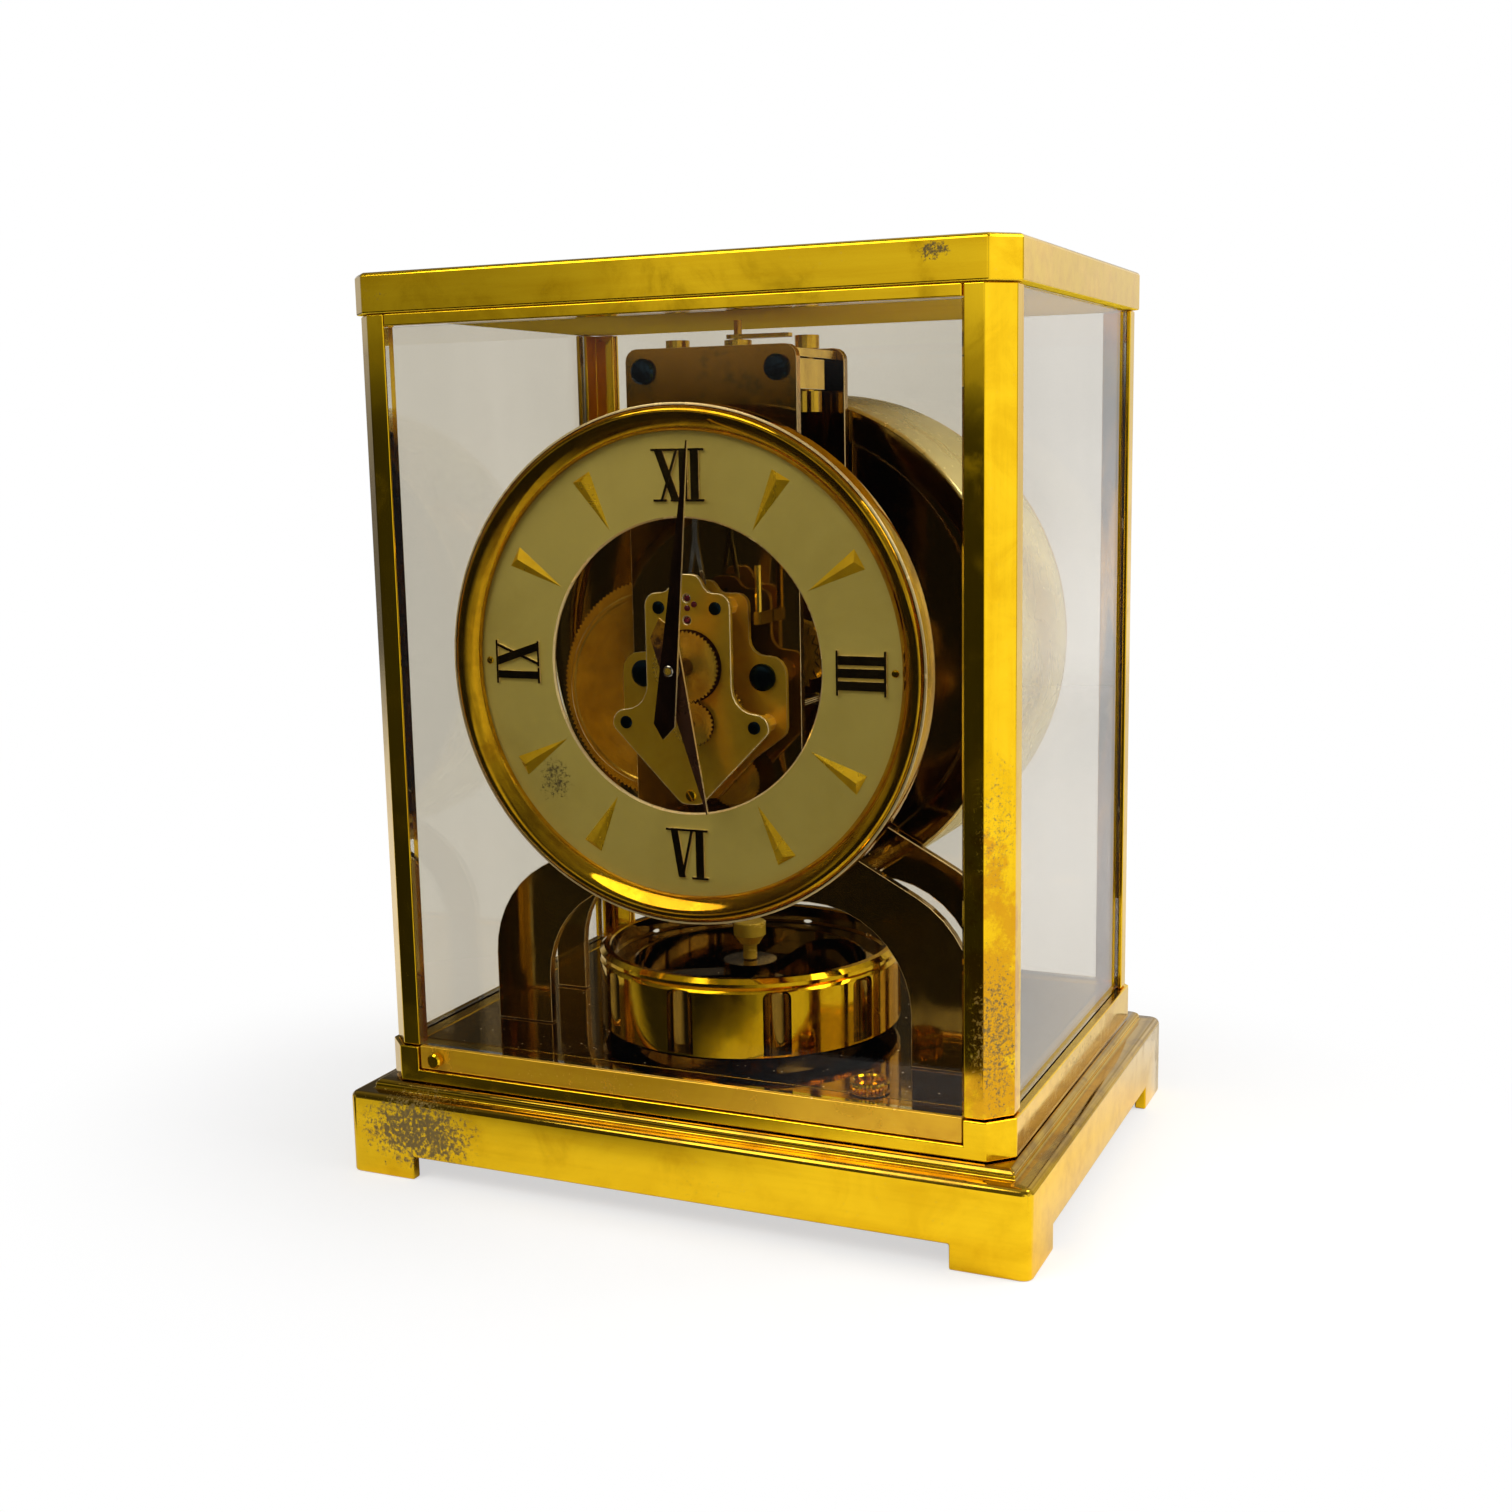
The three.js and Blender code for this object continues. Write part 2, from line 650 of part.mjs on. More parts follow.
function lockPinHole(bottom, top) {
  return rodUp(LOCK_PIN_RADIUS + PIVOT_GAP, bottom, top, COARSE, 0, PENDULUM_Y);
}

function plinthForm() {
  const outline = rectangle(PLINTH_WIDTH, PLINTH_DEPTH, PLINTH_CORNER);
  const step = rectangle(FRAME_WIDTH + 2 * PLINTH_STEP_MARGIN, FRAME_DEPTH + 2 * PLINTH_STEP_MARGIN);
  const halfWidth = PLINTH_WIDTH / 2;
  const halfDepth = PLINTH_DEPTH / 2;
  const top = PLINTH_HEIGHT + PLINTH_STEP_HEIGHT;
  return cut(
    fuse(
      slabUp(shapeOf(outline), 0, PLINTH_HEIGHT / 2),
      easedSlab(outline, PLINTH_HEIGHT / 4, PLINTH_HEIGHT * 3 / 4, PLINTH_EDGE),
      easedSlab(
        step, PLINTH_HEIGHT - PLINTH_STEP_COVE, PLINTH_STEP_HEIGHT + PLINTH_STEP_COVE, PLINTH_STEP_COVE,
      ),
    ),
    block(
      -halfWidth + PLINTH_WALL, halfWidth - PLINTH_WALL,
      -halfDepth + PLINTH_WALL, halfDepth - PLINTH_WALL, -1, deckUnderside,
    ),
    block(-halfWidth + FOOT_LENGTH, halfWidth - FOOT_LENGTH, -halfDepth - 1, halfDepth + 1, -1, FOOT_HEIGHT),
    block(-halfWidth - 1, halfWidth + 1, -halfDepth + FOOT_LENGTH, halfDepth - FOOT_LENGTH, -1, FOOT_HEIGHT),
    lockPinHole(deckUnderside - 1, top + 1),
  );
}

function lowerFrameForm() {
  const rebateZ = frameTop - FLOOR_THICKNESS - SEAT_GAP;
  const insideX = floorHalfWidth - FLOOR_REBATE;
  const insideY = floorHalfDepth - FLOOR_REBATE;
  return cut(
    slabUp(shapeOf(chamferedRectangle(FRAME_WIDTH, FRAME_DEPTH, FRAME_CHAMFER)), frameBottom, FRAME_HEIGHT),
    block(-insideX, insideX, -insideY, insideY, frameBottom - 1, frameTop + 1),
    block(-floorHalfWidth, floorHalfWidth, -floorHalfDepth, floorHalfDepth, rebateZ, frameTop + 1),
    block(
      -doorHalfWidth - SEAT_GAP, doorHalfWidth + SEAT_GAP,
      -FRAME_DEPTH / 2 - 1, doorFront + DOOR_RAIL_THICKNESS + SEAT_GAP, doorSeatZ, frameTop + 1,
    ),
  );
}

function floorPlateForm() {
  const x = floorHalfWidth - SEAT_GAP;
  const y = floorHalfDepth - SEAT_GAP;
  return cut(
    block(-x, x, -y, y, frameTop - FLOOR_THICKNESS, frameTop),
    lockPinHole(frameBottom, frameTop + 1),
  );
}

// A corner post is a chamfered angle with a groove for each pane that it holds.
function postForm(sideX, sideY, holdsBack) {
  const glassOut = GLASS_SET_IN - SEAT_GAP;
  const glassIn = GLASS_SET_IN + GLASS_THICKNESS + SEAT_GAP;
  const endX = postX - POST_FACE;
  const endY = postY - POST_FACE;
  const backGroove = [
    [endX, postY - glassIn], [endX + GLASS_GROOVE_DEPTH, postY - glassIn],
    [endX + GLASS_GROOVE_DEPTH, postY - glassOut], [endX, postY - glassOut],
  ];
  const sideGroove = [
    [postX - glassOut, endY], [postX - glassOut, endY + GLASS_GROOVE_DEPTH],
    [postX - glassIn, endY + GLASS_GROOVE_DEPTH], [postX - glassIn, endY],
  ];
  const points = [
    [endX, postY - POST_THICKNESS], ...(holdsBack ? backGroove : []), [endX, postY],
    [postX - POST_CHAMFER, postY], [postX, postY - POST_CHAMFER], [postX, endY],
    ...sideGroove, [postX - POST_THICKNESS, endY], [postX - POST_THICKNESS, postY - POST_THICKNESS],
  ].map(([x, y]) => new THREE.Vector2(sideX * x, sideY * y));
  return slabUp(shapeOf(points), postBottom, POST_HEIGHT);
}

function capForm() {
  const outline = chamferedRectangle(CAP_WIDTH, CAP_DEPTH, CAP_CHAMFER);
  return fuse(
    slabUp(shapeOf(outline), capBottom, CAP_HEIGHT / 2),
    easedSlab(outline, capBottom + CAP_HEIGHT / 4, CAP_HEIGHT * 3 / 4, CAP_EDGE),
  );
}

function spiritLevelForm() {
  const bottom = frameTop + SEAT_GAP;
  const rim = knurledRodUp(LEVEL_RADIUS, bottom, bottom + LEVEL_HEIGHT, LEVEL_KNURLS);
  const top = bottom + LEVEL_HEIGHT;
  const vial = rodUp(LEVEL_RADIUS - LEVEL_RIM, top - LEVEL_SINK, top + 1, COARSE);
  return cut(rim, vial).translate(LEVEL_X, LEVEL_Y, 0);
}

piece(clock, "plinth", plinthForm(), POLISHED_BRASS);
piece(clock, "lower_case_frame", lowerFrameForm(), POLISHED_BRASS);
piece(clock, "floor_plate", floorPlateForm(), DARK_MIRROR);
for (const [name, sideX, sideY] of [
  ["post_front_left", -1, -1], ["post_front_right", 1, -1],
  ["post_back_left", -1, 1], ["post_back_right", 1, 1],
]) {
  piece(clock, name, postForm(sideX, sideY, sideY > 0), POLISHED_BRASS);
}
piece(clock, "top_cap", capForm(), POLISHED_BRASS);
const sidePaneHalf = postY - POST_FACE + GLASS_TONGUE;
for (const [name, side] of [["side_glass_left", -1], ["side_glass_right", 1]]) {
  const outer = postX - GLASS_SET_IN;
  const pane = block(outer - GLASS_THICKNESS, outer, -sidePaneHalf, sidePaneHalf, postBottom, postTop);
  piece(clock, name, side > 0 ? pane : pane.rotateZ(Math.PI), GLASS);
}
const backPaneHalf = postX - POST_FACE + GLASS_TONGUE;
const backPaneOuter = postY - GLASS_SET_IN;
piece(
  clock, "back_glass",
  block(-backPaneHalf, backPaneHalf, backPaneOuter - GLASS_THICKNESS, backPaneOuter, postBottom, postTop),
  GLASS,
);
piece(clock, "spirit_level", spiritLevelForm(), POLISHED_BRASS);

// Front door, which lifts away forwards with its latch stud
const door = bodyAt();
const doorRailTop = doorSeatZ + SEAT_GAP + DOOR_RAIL_HEIGHT;
const doorTopRailZ = postTop - DOOR_TOP_RAIL_HEIGHT;
piece(
  door, "door_bottom_rail",
  block(
    -doorHalfWidth, doorHalfWidth, doorFront, doorFront + DOOR_RAIL_THICKNESS,
    doorSeatZ + SEAT_GAP, doorRailTop,
  ),
  POLISHED_BRASS,
);
piece(
  door, "door_top_rail",
  block(-doorHalfWidth, doorHalfWidth, doorFront, doorFront + DOOR_RAIL_THICKNESS, doorTopRailZ, postTop),
  POLISHED_BRASS,
);
piece(
  door, "door_glass",
  block(
    -doorHalfWidth, doorHalfWidth,
    doorFront + DOOR_GLASS_SET_IN, doorFront + DOOR_GLASS_SET_IN + GLASS_THICKNESS,
    doorRailTop + SEAT_GAP, doorTopRailZ - SEAT_GAP,
  ),
  GLASS,
);
const latch = bodyAt(-doorHalfWidth + DOOR_KNOB_INSET, 0, doorRailTop - DOOR_RAIL_HEIGHT / 2, door);
piece(
  latch, "door_latch_stud",
  turnedBack([
    [0, doorFront - SEAT_GAP - DOOR_KNOB_LENGTH],
    [DOOR_KNOB_RADIUS - DOOR_KNOB_EDGE, doorFront - SEAT_GAP - DOOR_KNOB_LENGTH],
    [DOOR_KNOB_RADIUS, doorFront - SEAT_GAP - DOOR_KNOB_LENGTH + DOOR_KNOB_EDGE],
    [DOOR_KNOB_RADIUS, doorFront - SEAT_GAP],
    [0, doorFront - SEAT_GAP],
  ], COARSE),
  POLISHED_BRASS,
);

// Movement frame

function archPlateShape(legWidth, holes) {
  const shape = shapeOf(roundedOutline(mirrored([
    [COLUMN_HALF_WIDTH, ARCH_TOP, COLUMN_CORNER],
    [COLUMN_HALF_WIDTH, SHOULDER_INNER_HEIGHT, COLUMN_FILLET],
    [legOuter, SHOULDER_OUTER_HEIGHT, SHOULDER_ROUND],
    [legOuter, plateBottom, 0],
    [legOuter - legWidth, plateBottom, 0],
    [legOuter - legWidth, ARCH_CROWN, ARCH_ROUND],
  ])));
  shape.holes.push(...holes);
  return shape;
}

function frontPlateForm() {
  const forkZ = leverPivot.y + FORK_RISE;
  const window = new THREE.Path([
    [-FORK_WINDOW_HALF_WIDTH, forkZ - FORK_WINDOW_HALF_HEIGHT],
    [FORK_WINDOW_HALF_WIDTH, forkZ - FORK_WINDOW_HALF_HEIGHT],
    [FORK_WINDOW_HALF_WIDTH, forkZ + FORK_WINDOW_HALF_HEIGHT],
    [-FORK_WINDOW_HALF_WIDTH, forkZ + FORK_WINDOW_HALF_HEIGHT],
  ].map(([x, z]) => new THREE.Vector2(x, z)));
  const shape = archPlateShape(FRONT_LEG_WIDTH, [
    window,
    hole(BARREL_ARBOR_RADIUS + PIVOT_GAP, barrelArbor.x, barrelArbor.y),
    hole(PULLEY_ARBOR_RADIUS + PIVOT_GAP, windingArbor.x, windingArbor.y),
    hole(ARBOR_RADIUS + PIVOT_GAP, thirdArbor.x, thirdArbor.y),
    hole(ARBOR_RADIUS + PIVOT_GAP, secondArbor.x, secondArbor.y),
  ]);
  const bossFront = FRONT_PLATE_Y - FIRST_BOSS_LENGTH;
  return cut(
    fuse(
      slabBack(shape, FRONT_PLATE_Y, ARCH_PLATE_THICKNESS),
      rodBack(FIRST_BOSS_RADIUS, bossFront, FRONT_PLATE_Y + 1, COARSE, firstArbor.x, firstArbor.y),
      rodBack(
        CLICK_STUD_RADIUS, frontPlateBack - 1, WINDING_WHEEL_Y + WINDING_WHEEL_THICKNESS + RUNNING_GAP,
        SMALL, clickPivot.x, clickPivot.y,
      ),
    ),
    rodBack(ARBOR_RADIUS + PIVOT_GAP, bossFront - 1, frontPlateBack + 1, SMALL, firstArbor.x, firstArbor.y),
  );
}

function rearPlateForm() {
  const shape = archPlateShape(REAR_LEG_WIDTH, [
    hole(BARREL_ARBOR_RADIUS + PIVOT_GAP, barrelArbor.x, barrelArbor.y),
    hole(PULLEY_ARBOR_RADIUS + PIVOT_GAP, windingArbor.x, windingArbor.y),
  ]);
  return slabBack(shape, REAR_PLATE_Y, ARCH_PLATE_THICKNESS);
}

piece(clock, "front_arch_plate", frontPlateForm(), DARK_MIRROR);
piece(clock, "rear_arch_plate", rearPlateForm(), DARK_MIRROR);
for (const [name, side] of [["plate_pillar_left", -1], ["plate_pillar_right", 1]]) {
  piece(
    clock, name,
    rodBack(
      ARCH_PILLAR_RADIUS, frontPlateBack + SEAT_GAP, REAR_PLATE_Y - SEAT_GAP, COARSE,
      side * ARCH_PILLAR_X, ARCH_PILLAR_Z,
    ),
    GILT,
  );
}

// Suspension head
const bridgeBottom = BRIDGE_TOP - BRIDGE_THICKNESS;
const blockBottom = bridgeBottom - SEAT_GAP - BLOCK_HEIGHT;
const bridgeFront = frontPlateBack + SEAT_GAP;
const bridgeScrewY = PENDULUM_Y + BRIDGE_SCREW_SET_BACK;

function bridgeHoles(bottom, top) {
  const screwHole = BRIDGE_SCREW_RADIUS + SEAT_GAP;
  return [
    rodUp(screwHole, bottom - 1, top + 1, SMALL, -BRIDGE_SCREW_X, bridgeScrewY),
    rodUp(screwHole, bottom - 1, top + 1, SMALL, BRIDGE_SCREW_X, bridgeScrewY),
    rodUp(WIRE_SOCKET_RADIUS, bottom - 1, top + 1, SMALL, 0, PENDULUM_Y),
  ];
}

function bridgeScrewForm() {
  const headBottom = BRIDGE_TOP + SEAT_GAP;
  const nutTop = blockBottom - SEAT_GAP;
  return fuse(
    rodUp(BRIDGE_SCREW_HEAD_RADIUS, headBottom, headBottom + BRIDGE_SCREW_HEAD_HEIGHT, COARSE),
    rodUp(BRIDGE_SCREW_RADIUS, nutTop - 1, headBottom + 1, SMALL),
    knurledRodUp(BRIDGE_NUT_RADIUS, nutTop - BRIDGE_NUT_HEIGHT, nutTop, NUT_KNURLS),
  );
}

piece(
  clock, "suspension_bridge",
  cut(
    block(
      -BRIDGE_HALF_WIDTH, BRIDGE_HALF_WIDTH, bridgeFront, REAR_PLATE_Y - SEAT_GAP, bridgeBottom, BRIDGE_TOP,
    ),
    ...bridgeHoles(bridgeBottom, BRIDGE_TOP),
  ),
  GILT,
);
piece(
  clock, "suspension_block",
  cut(
    block(
      -BRIDGE_HALF_WIDTH, BRIDGE_HALF_WIDTH, bridgeFront, bridgeFront + BLOCK_DEPTH,
      blockBottom, blockBottom + BLOCK_HEIGHT,
    ),
    ...bridgeHoles(blockBottom, blockBottom + BLOCK_HEIGHT),
  ),
  GILT,
);
for (const [name, side] of [["bridge_screw_left", -1], ["bridge_screw_right", 1]]) {
  piece(bodyAt(side * BRIDGE_SCREW_X, bridgeScrewY), name, bridgeScrewForm(), GILT);
}
const headFlangeTop = BRIDGE_TOP + SEAT_GAP + SUSPENSION_HEAD_FLANGE;
piece(
  bodyAt(0, PENDULUM_Y), "suspension_head",
  turnedUp([
    [0, BRIDGE_TOP + SEAT_GAP], [SUSPENSION_HEAD_RADIUS, BRIDGE_TOP + SEAT_GAP],
    [SUSPENSION_HEAD_RADIUS, headFlangeTop], [REGULATOR_PIN_RADIUS, headFlangeTop],
    [REGULATOR_PIN_RADIUS, headFlangeTop + REGULATOR_PIN_HEIGHT], [0, headFlangeTop + REGULATOR_PIN_HEIGHT],
  ], COARSE),
  GILT,
);

function regulatorForm() {
  const shape = shapeOf(roundedOutline([
    [-REGULATOR_HUB_RADIUS, -REGULATOR_HUB_RADIUS, REGULATOR_HUB_RADIUS * 0.6],
    [REGULATOR_LENGTH, -REGULATOR_TIP_WIDTH / 2, 0],
    [REGULATOR_LENGTH, REGULATOR_TIP_WIDTH / 2, 0],
    [-REGULATOR_HUB_RADIUS, REGULATOR_HUB_RADIUS, REGULATOR_HUB_RADIUS * 0.6],
  ]));
  shape.holes.push(hole(REGULATOR_PIN_RADIUS + PIVOT_GAP, 0, 0));
  return slabUp(shape, headFlangeTop + SEAT_GAP, REGULATOR_THICKNESS);
}

const regulator = bodyAt(0, PENDULUM_Y);
piece(regulator, "regulator_lever", regulatorForm(), GILT);

// Torsion pendulum, turning about the upright wire

function pendulumRingForm() {
  const inner = RING_RADIUS - RING_WALL;
  const waist = RING_RADIUS - RING_CHAMFER;
  const rimBottom = RING_TOP - RING_RIM_HEIGHT;
  const ring = turnedUp([
    [inner, RING_BOTTOM], [RING_RADIUS, RING_BOTTOM],
    [RING_RADIUS, rimBottom - RING_CHAMFER], [waist, rimBottom], [RING_RADIUS, rimBottom],
    [RING_RADIUS, RING_TOP - RING_RIM_BEVEL], [RING_RADIUS - RING_RIM_BEVEL, RING_TOP],
    [inner, RING_TOP],
  ], RING_SIDES);
  const half = FLUTE_WIDTH / 2;
  const flute = shapeOf(roundedOutline([
    [half, RING_BOTTOM + FLUTE_BOTTOM_MARGIN, 0], [half, RING_TOP - FLUTE_TOP_MARGIN, half * 0.98],
    [-half, RING_TOP - FLUTE_TOP_MARGIN, half * 0.98], [-half, RING_BOTTOM + FLUTE_BOTTOM_MARGIN, 0],
  ]));
  const flutes = Array.from({ length: FLUTES }, (_, i) => (
    slabBack(flute, -RING_RADIUS - 1, FLUTE_DEPTH + 1)
      .rotateZ(THREE.MathUtils.degToRad(360 * i / FLUTES - FLUTE_PHASE))
  ));
  return cut(ring, ...flutes);
}

function spiderForm() {
  const reach = RING_RADIUS - RING_WALL - SEAT_GAP;
  const arms = Array.from({ length: SPIDER_ARMS }, (_, i) => (
    block(0, reach, -SPIDER_ARM_WIDTH / 2, SPIDER_ARM_WIDTH / 2, SPIDER_Z, SPIDER_Z + SPIDER_THICKNESS)
      .rotateZ(2 * Math.PI * i / SPIDER_ARMS + Math.PI / 2)
  ));
  return fuse(rodUp(HUB_RADIUS, HUB_BOTTOM, HUB_TOP, COARSE), ...arms);
}

const pendulum = bodyAt(0, PENDULUM_Y);
piece(pendulum, "pendulum_ring", pendulumRingForm(), POLISHED_BRASS);
piece(pendulum, "pendulum_spider", spiderForm(), GILT);
piece(
  pendulum, "pendulum_collar",
  turnedUp([
    [0, HUB_TOP + SEAT_GAP], [NECK_RADIUS, HUB_TOP + SEAT_GAP], [NECK_RADIUS, NECK_TOP],
    [COLLAR_FOOT_RADIUS, NECK_TOP], [COLLAR_RADIUS, COLLAR_BOTTOM],
    [COLLAR_RADIUS, COLLAR_TOP], [0, COLLAR_TOP],
  ], COARSE),
  POLISHED_BRASS,
);
piece(
  pendulum, "suspension_wire",
  rodUp(WIRE_RADIUS, COLLAR_TOP + SEAT_GAP, BRIDGE_TOP - SEAT_GAP, TINY),
  STEEL,
);
piece(
  pendulum, "impulse_roller",
  fuse(
    turnedUp([
      [WIRE_RADIUS + SEAT_GAP, ROLLER_Z], [ROLLER_RADIUS, ROLLER_Z],
      [ROLLER_RADIUS, ROLLER_Z + ROLLER_THICKNESS], [WIRE_RADIUS + SEAT_GAP, ROLLER_Z + ROLLER_THICKNESS],
    ], COARSE),
    rodUp(
      IMPULSE_PIN_RADIUS, ROLLER_Z - IMPULSE_PIN_LENGTH, ROLLER_Z + ROLLER_THICKNESS / 2, TINY,
      0, -IMPULSE_PIN_OFFSET,
    ),
  ),
  STEEL,
);

// Bellows drum

const drumFront = REAR_PLATE_Y + ARCH_PLATE_THICKNESS + SEAT_GAP;
const drumBack = drumFront + DRUM_DEPTH;

function drumHousingForm() {
  return turnedBack([
    [0, drumFront + DRUM_RING_STEP], [DRUM_RING_RADIUS, drumFront + DRUM_RING_STEP],
    [DRUM_RING_RADIUS + DRUM_RING_STEP, drumFront], [DRUM_RADIUS - DRUM_EDGE, drumFront],
    [DRUM_RADIUS, drumFront + DRUM_EDGE], [DRUM_RADIUS, drumBack], [DRUM_RADIUS - DRUM_WALL, drumBack],
    [DRUM_RADIUS - DRUM_WALL, drumFront + DRUM_RING_STEP + DRUM_WALL],
    [0, drumFront + DRUM_RING_STEP + DRUM_WALL],
  ], DRUM_SIDES);
}

function drumCoverForm() {
  const front = drumBack + SEAT_GAP;
  const back = front + DRUM_COVER_THICKNESS;
  return turnedBack([
    [0, front], [DRUM_RADIUS, front], [DRUM_RADIUS, back], [DRUM_RADIUS - DRUM_COVER_RIM, back],
    [DRUM_RADIUS - DRUM_COVER_RIM - DRUM_COVER_DOME, back + DRUM_COVER_DOME], [0, back + DRUM_COVER_DOME],
  ], MEDIUM);
}

function bellowsForm() {
  const front = drumFront + DRUM_RING_STEP + DRUM_WALL + SEAT_GAP;
  const pitch = BELLOWS_LENGTH / BELLOWS_FOLDS;
  const folds = Array.from({ length: BELLOWS_FOLDS }, (_, i) => [
    [BELLOWS_RADIUS - BELLOWS_FOLD, front + i * pitch],
    [BELLOWS_RADIUS, front + (i + 0.5) * pitch],
  ]).flat();
  const back = front + BELLOWS_LENGTH;
  return turnedBack([[0, front], ...folds, [BELLOWS_RADIUS - BELLOWS_FOLD, back], [0, back]], COARSE);
}

const drum = bodyAt(0, 0, DRUM_CENTRE_Z);
piece(drum, "bellows_drum", drumHousingForm(), DARK_MIRROR);
piece(drum, "bellows_drum_cover", drumCoverForm(), POLISHED_BRASS);
piece(drum, "bellows", bellowsForm(), GILT);

// Dial with its carrier and bezel

function dialForm() {
  const back = DIAL_Y + DIAL_THICKNESS;
  const ring = turnedBack([
    [DIAL_OPENING_RADIUS, DIAL_Y], [DIAL_RADIUS, DIAL_Y], [DIAL_RADIUS, back], [DIAL_OPENING_RADIUS, back],
  ], FINE);
  const marker = shapeOf([
    new THREE.Vector2(-MARKER_WIDTH / 2, MARKER_OUTER_RADIUS),
    new THREE.Vector2(0, MARKER_OUTER_RADIUS - MARKER_LENGTH),
    new THREE.Vector2(MARKER_WIDTH / 2, MARKER_OUTER_RADIUS),
  ]);
  const markers = [1, 2, 4, 5, 7, 8, 10, 11].map((hour) => (
    slabBack(marker, DIAL_Y - MARKER_HEIGHT, MARKER_HEIGHT + DIAL_THICKNESS / 2).rotateY(Math.PI * hour / 6)
  ));
  return fuse(ring, ...markers);
}

function carrierForm() {
  const front = DIAL_Y + DIAL_THICKNESS + SEAT_GAP;
  const back = front + CARRIER_THICKNESS;
  const ring = turnedBack([
    [CARRIER_OPENING_RADIUS, front], [CARRIER_RADIUS, front],
    [CARRIER_RADIUS, back], [CARRIER_OPENING_RADIUS, back],
  ], CARRIER_SIDES);
  const posts = [[-1, -1], [1, -1], [-1, 1], [1, 1]].map(([sideX, sideZ]) => (
    rodBack(
      CARRIER_POST_RADIUS, back - CARRIER_THICKNESS / 2, FRONT_PLATE_Y - SEAT_GAP, SMALL,
      sideX * CARRIER_POST_X, sideZ * CARRIER_POST_RISE,
    )
  ));
  return fuse(ring, ...posts);
}

function bezelForm() {
  const lipBack = DIAL_Y - SEAT_GAP;
  const width = BEZEL_RADIUS - BEZEL_LIP_RADIUS;
  const height = lipBack - BEZEL_FRONT_Y;
  const crown = BEZEL_CROWN.map(([across, rise]) => (
    [BEZEL_LIP_RADIUS + across * width, lipBack - rise * height]
  ));
  return turnedBack([
    ...crown, [BEZEL_RADIUS, BEZEL_BACK_Y], [BEZEL_RADIUS - BEZEL_SKIRT, BEZEL_BACK_Y],
    [BEZEL_RADIUS - BEZEL_SKIRT, lipBack], [BEZEL_LIP_RADIUS, lipBack],
  ], FINE);
}

const face = bodyAt(0, 0, DIAL_CENTRE_Z);
piece(face, "dial_ring", dialForm(), DIAL_SILVER);
piece(face, "dial_carrier", carrierForm(), GILT);
piece(face, "bezel", bezelForm(), POLISHED_BRASS);

// Movement plates

const movementPillars = [
  [-UPPER_PILLAR_X, UPPER_PILLAR_Z], [UPPER_PILLAR_X, UPPER_PILLAR_Z],
  [-EAR_PILLAR_X, EAR_PILLAR_Z], [EAR_PILLAR_X, EAR_PILLAR_Z], [0, LOWER_PILLAR_Z],
];
const pivotHoles = (arbors) => arbors.map((arbor) => hole(ARBOR_RADIUS + PIVOT_GAP, arbor.x, arbor.y));

function movementFrontForm() {
  const shape = shapeOf(roundedOutline(mirrored([
    [2.9, 153, 2.4], [5.3, 148.6, 2.4], [11.2, 148.6, 3.2], [11.2, 120.3, 6],
    [20.6, 120.3, 3.4], [20.6, 115.9, 2.2], [2.6, 97.7, 3],
  ])));
  shape.holes.push(
    hole(CENTRE_ARBOR_RADIUS + PIVOT_GAP, centreArbor.x, centreArbor.y),
    ...pivotHoles([thirdArbor, escapeArbor, leverPivot]),
  );
  return slabBack(shape, MOVEMENT_FRONT_Y, MOVEMENT_PLATE_THICKNESS);
}

function movementRearForm() {
  const shape = shapeOf(roundedOutline(mirrored([
    [3, 151, 2.4], [5, 148, 2], [12.2, 148, 3], [12.2, 133.2, 4],
    [21.7, 133.2, 4.5], [21.7, 114.6, 3], [13, 108.2, 3], [3, 97.9, 2.5],
  ])));
  shape.holes.push(
    hole(CENTRE_ARBOR_RADIUS + PIVOT_GAP, centreArbor.x, centreArbor.y),
    ...pivotHoles([thirdArbor, secondArbor, escapeArbor, leverPivot]),
  );
  const pillars = movementPillars.map(([x, z]) => (
    rodBack(MOVEMENT_PILLAR_RADIUS, movementFrontBack + SEAT_GAP, MOVEMENT_REAR_Y + 1, 8, x, z)
  ));
  const standoffs = [-STANDOFF_X, STANDOFF_X].map((x) => (
    rodBack(STANDOFF_RADIUS, movementRearBack - 1, FRONT_PLATE_Y - SEAT_GAP, SMALL, x, STANDOFF_Z)
  ));
  return fuse(slabBack(shape, MOVEMENT_REAR_Y, MOVEMENT_PLATE_THICKNESS), ...pillars, ...standoffs);
}

piece(clock, "movement_front_plate", movementFrontForm(), GILT);
piece(clock, "movement_rear_plate", movementRearForm(), GILT);
const steadyRodY = MOVEMENT_REAR_Y + MOVEMENT_PLATE_THICKNESS / 2;
piece(
  clock, "steady_rod",
  fuse(
    rodUp(STEADY_ROD_RADIUS, STEADY_ROD_BOTTOM, STEADY_ROD_TOP, SMALL, STEADY_ROD_X, steadyRodY),
    block(
      STEADY_ROD_X - STEADY_ROD_RADIUS, STEADY_ROD_X + STEADY_ROD_RADIUS, steadyRodY - STEADY_ROD_RADIUS,
      FRONT_PLATE_Y - SEAT_GAP, STEADY_ROD_BOTTOM - STEADY_FOOT, STEADY_ROD_BOTTOM,
    ),
  ),
  GILT,
);

// Wheel train

const arbor = (front, back, radius = ARBOR_RADIUS) => rodBack(radius, front, back, ARBOR_SIDES);

function pinion(teeth, module, wheelY, wheelThickness, firstTooth) {
  const spare = (PINION_LENGTH - wheelThickness) / 2;
  return toothedDisc(teeth, module, wheelY - spare, PINION_LENGTH, firstTooth);
}

const halfPitch = (teeth) => 180 / teeth;
const frontPivot = MOVEMENT_FRONT_Y + PIVOT_GAP;
const rearPivot = movementRearBack - PIVOT_GAP;
const framePivot = FRONT_PLATE_Y + PIVOT_GAP;

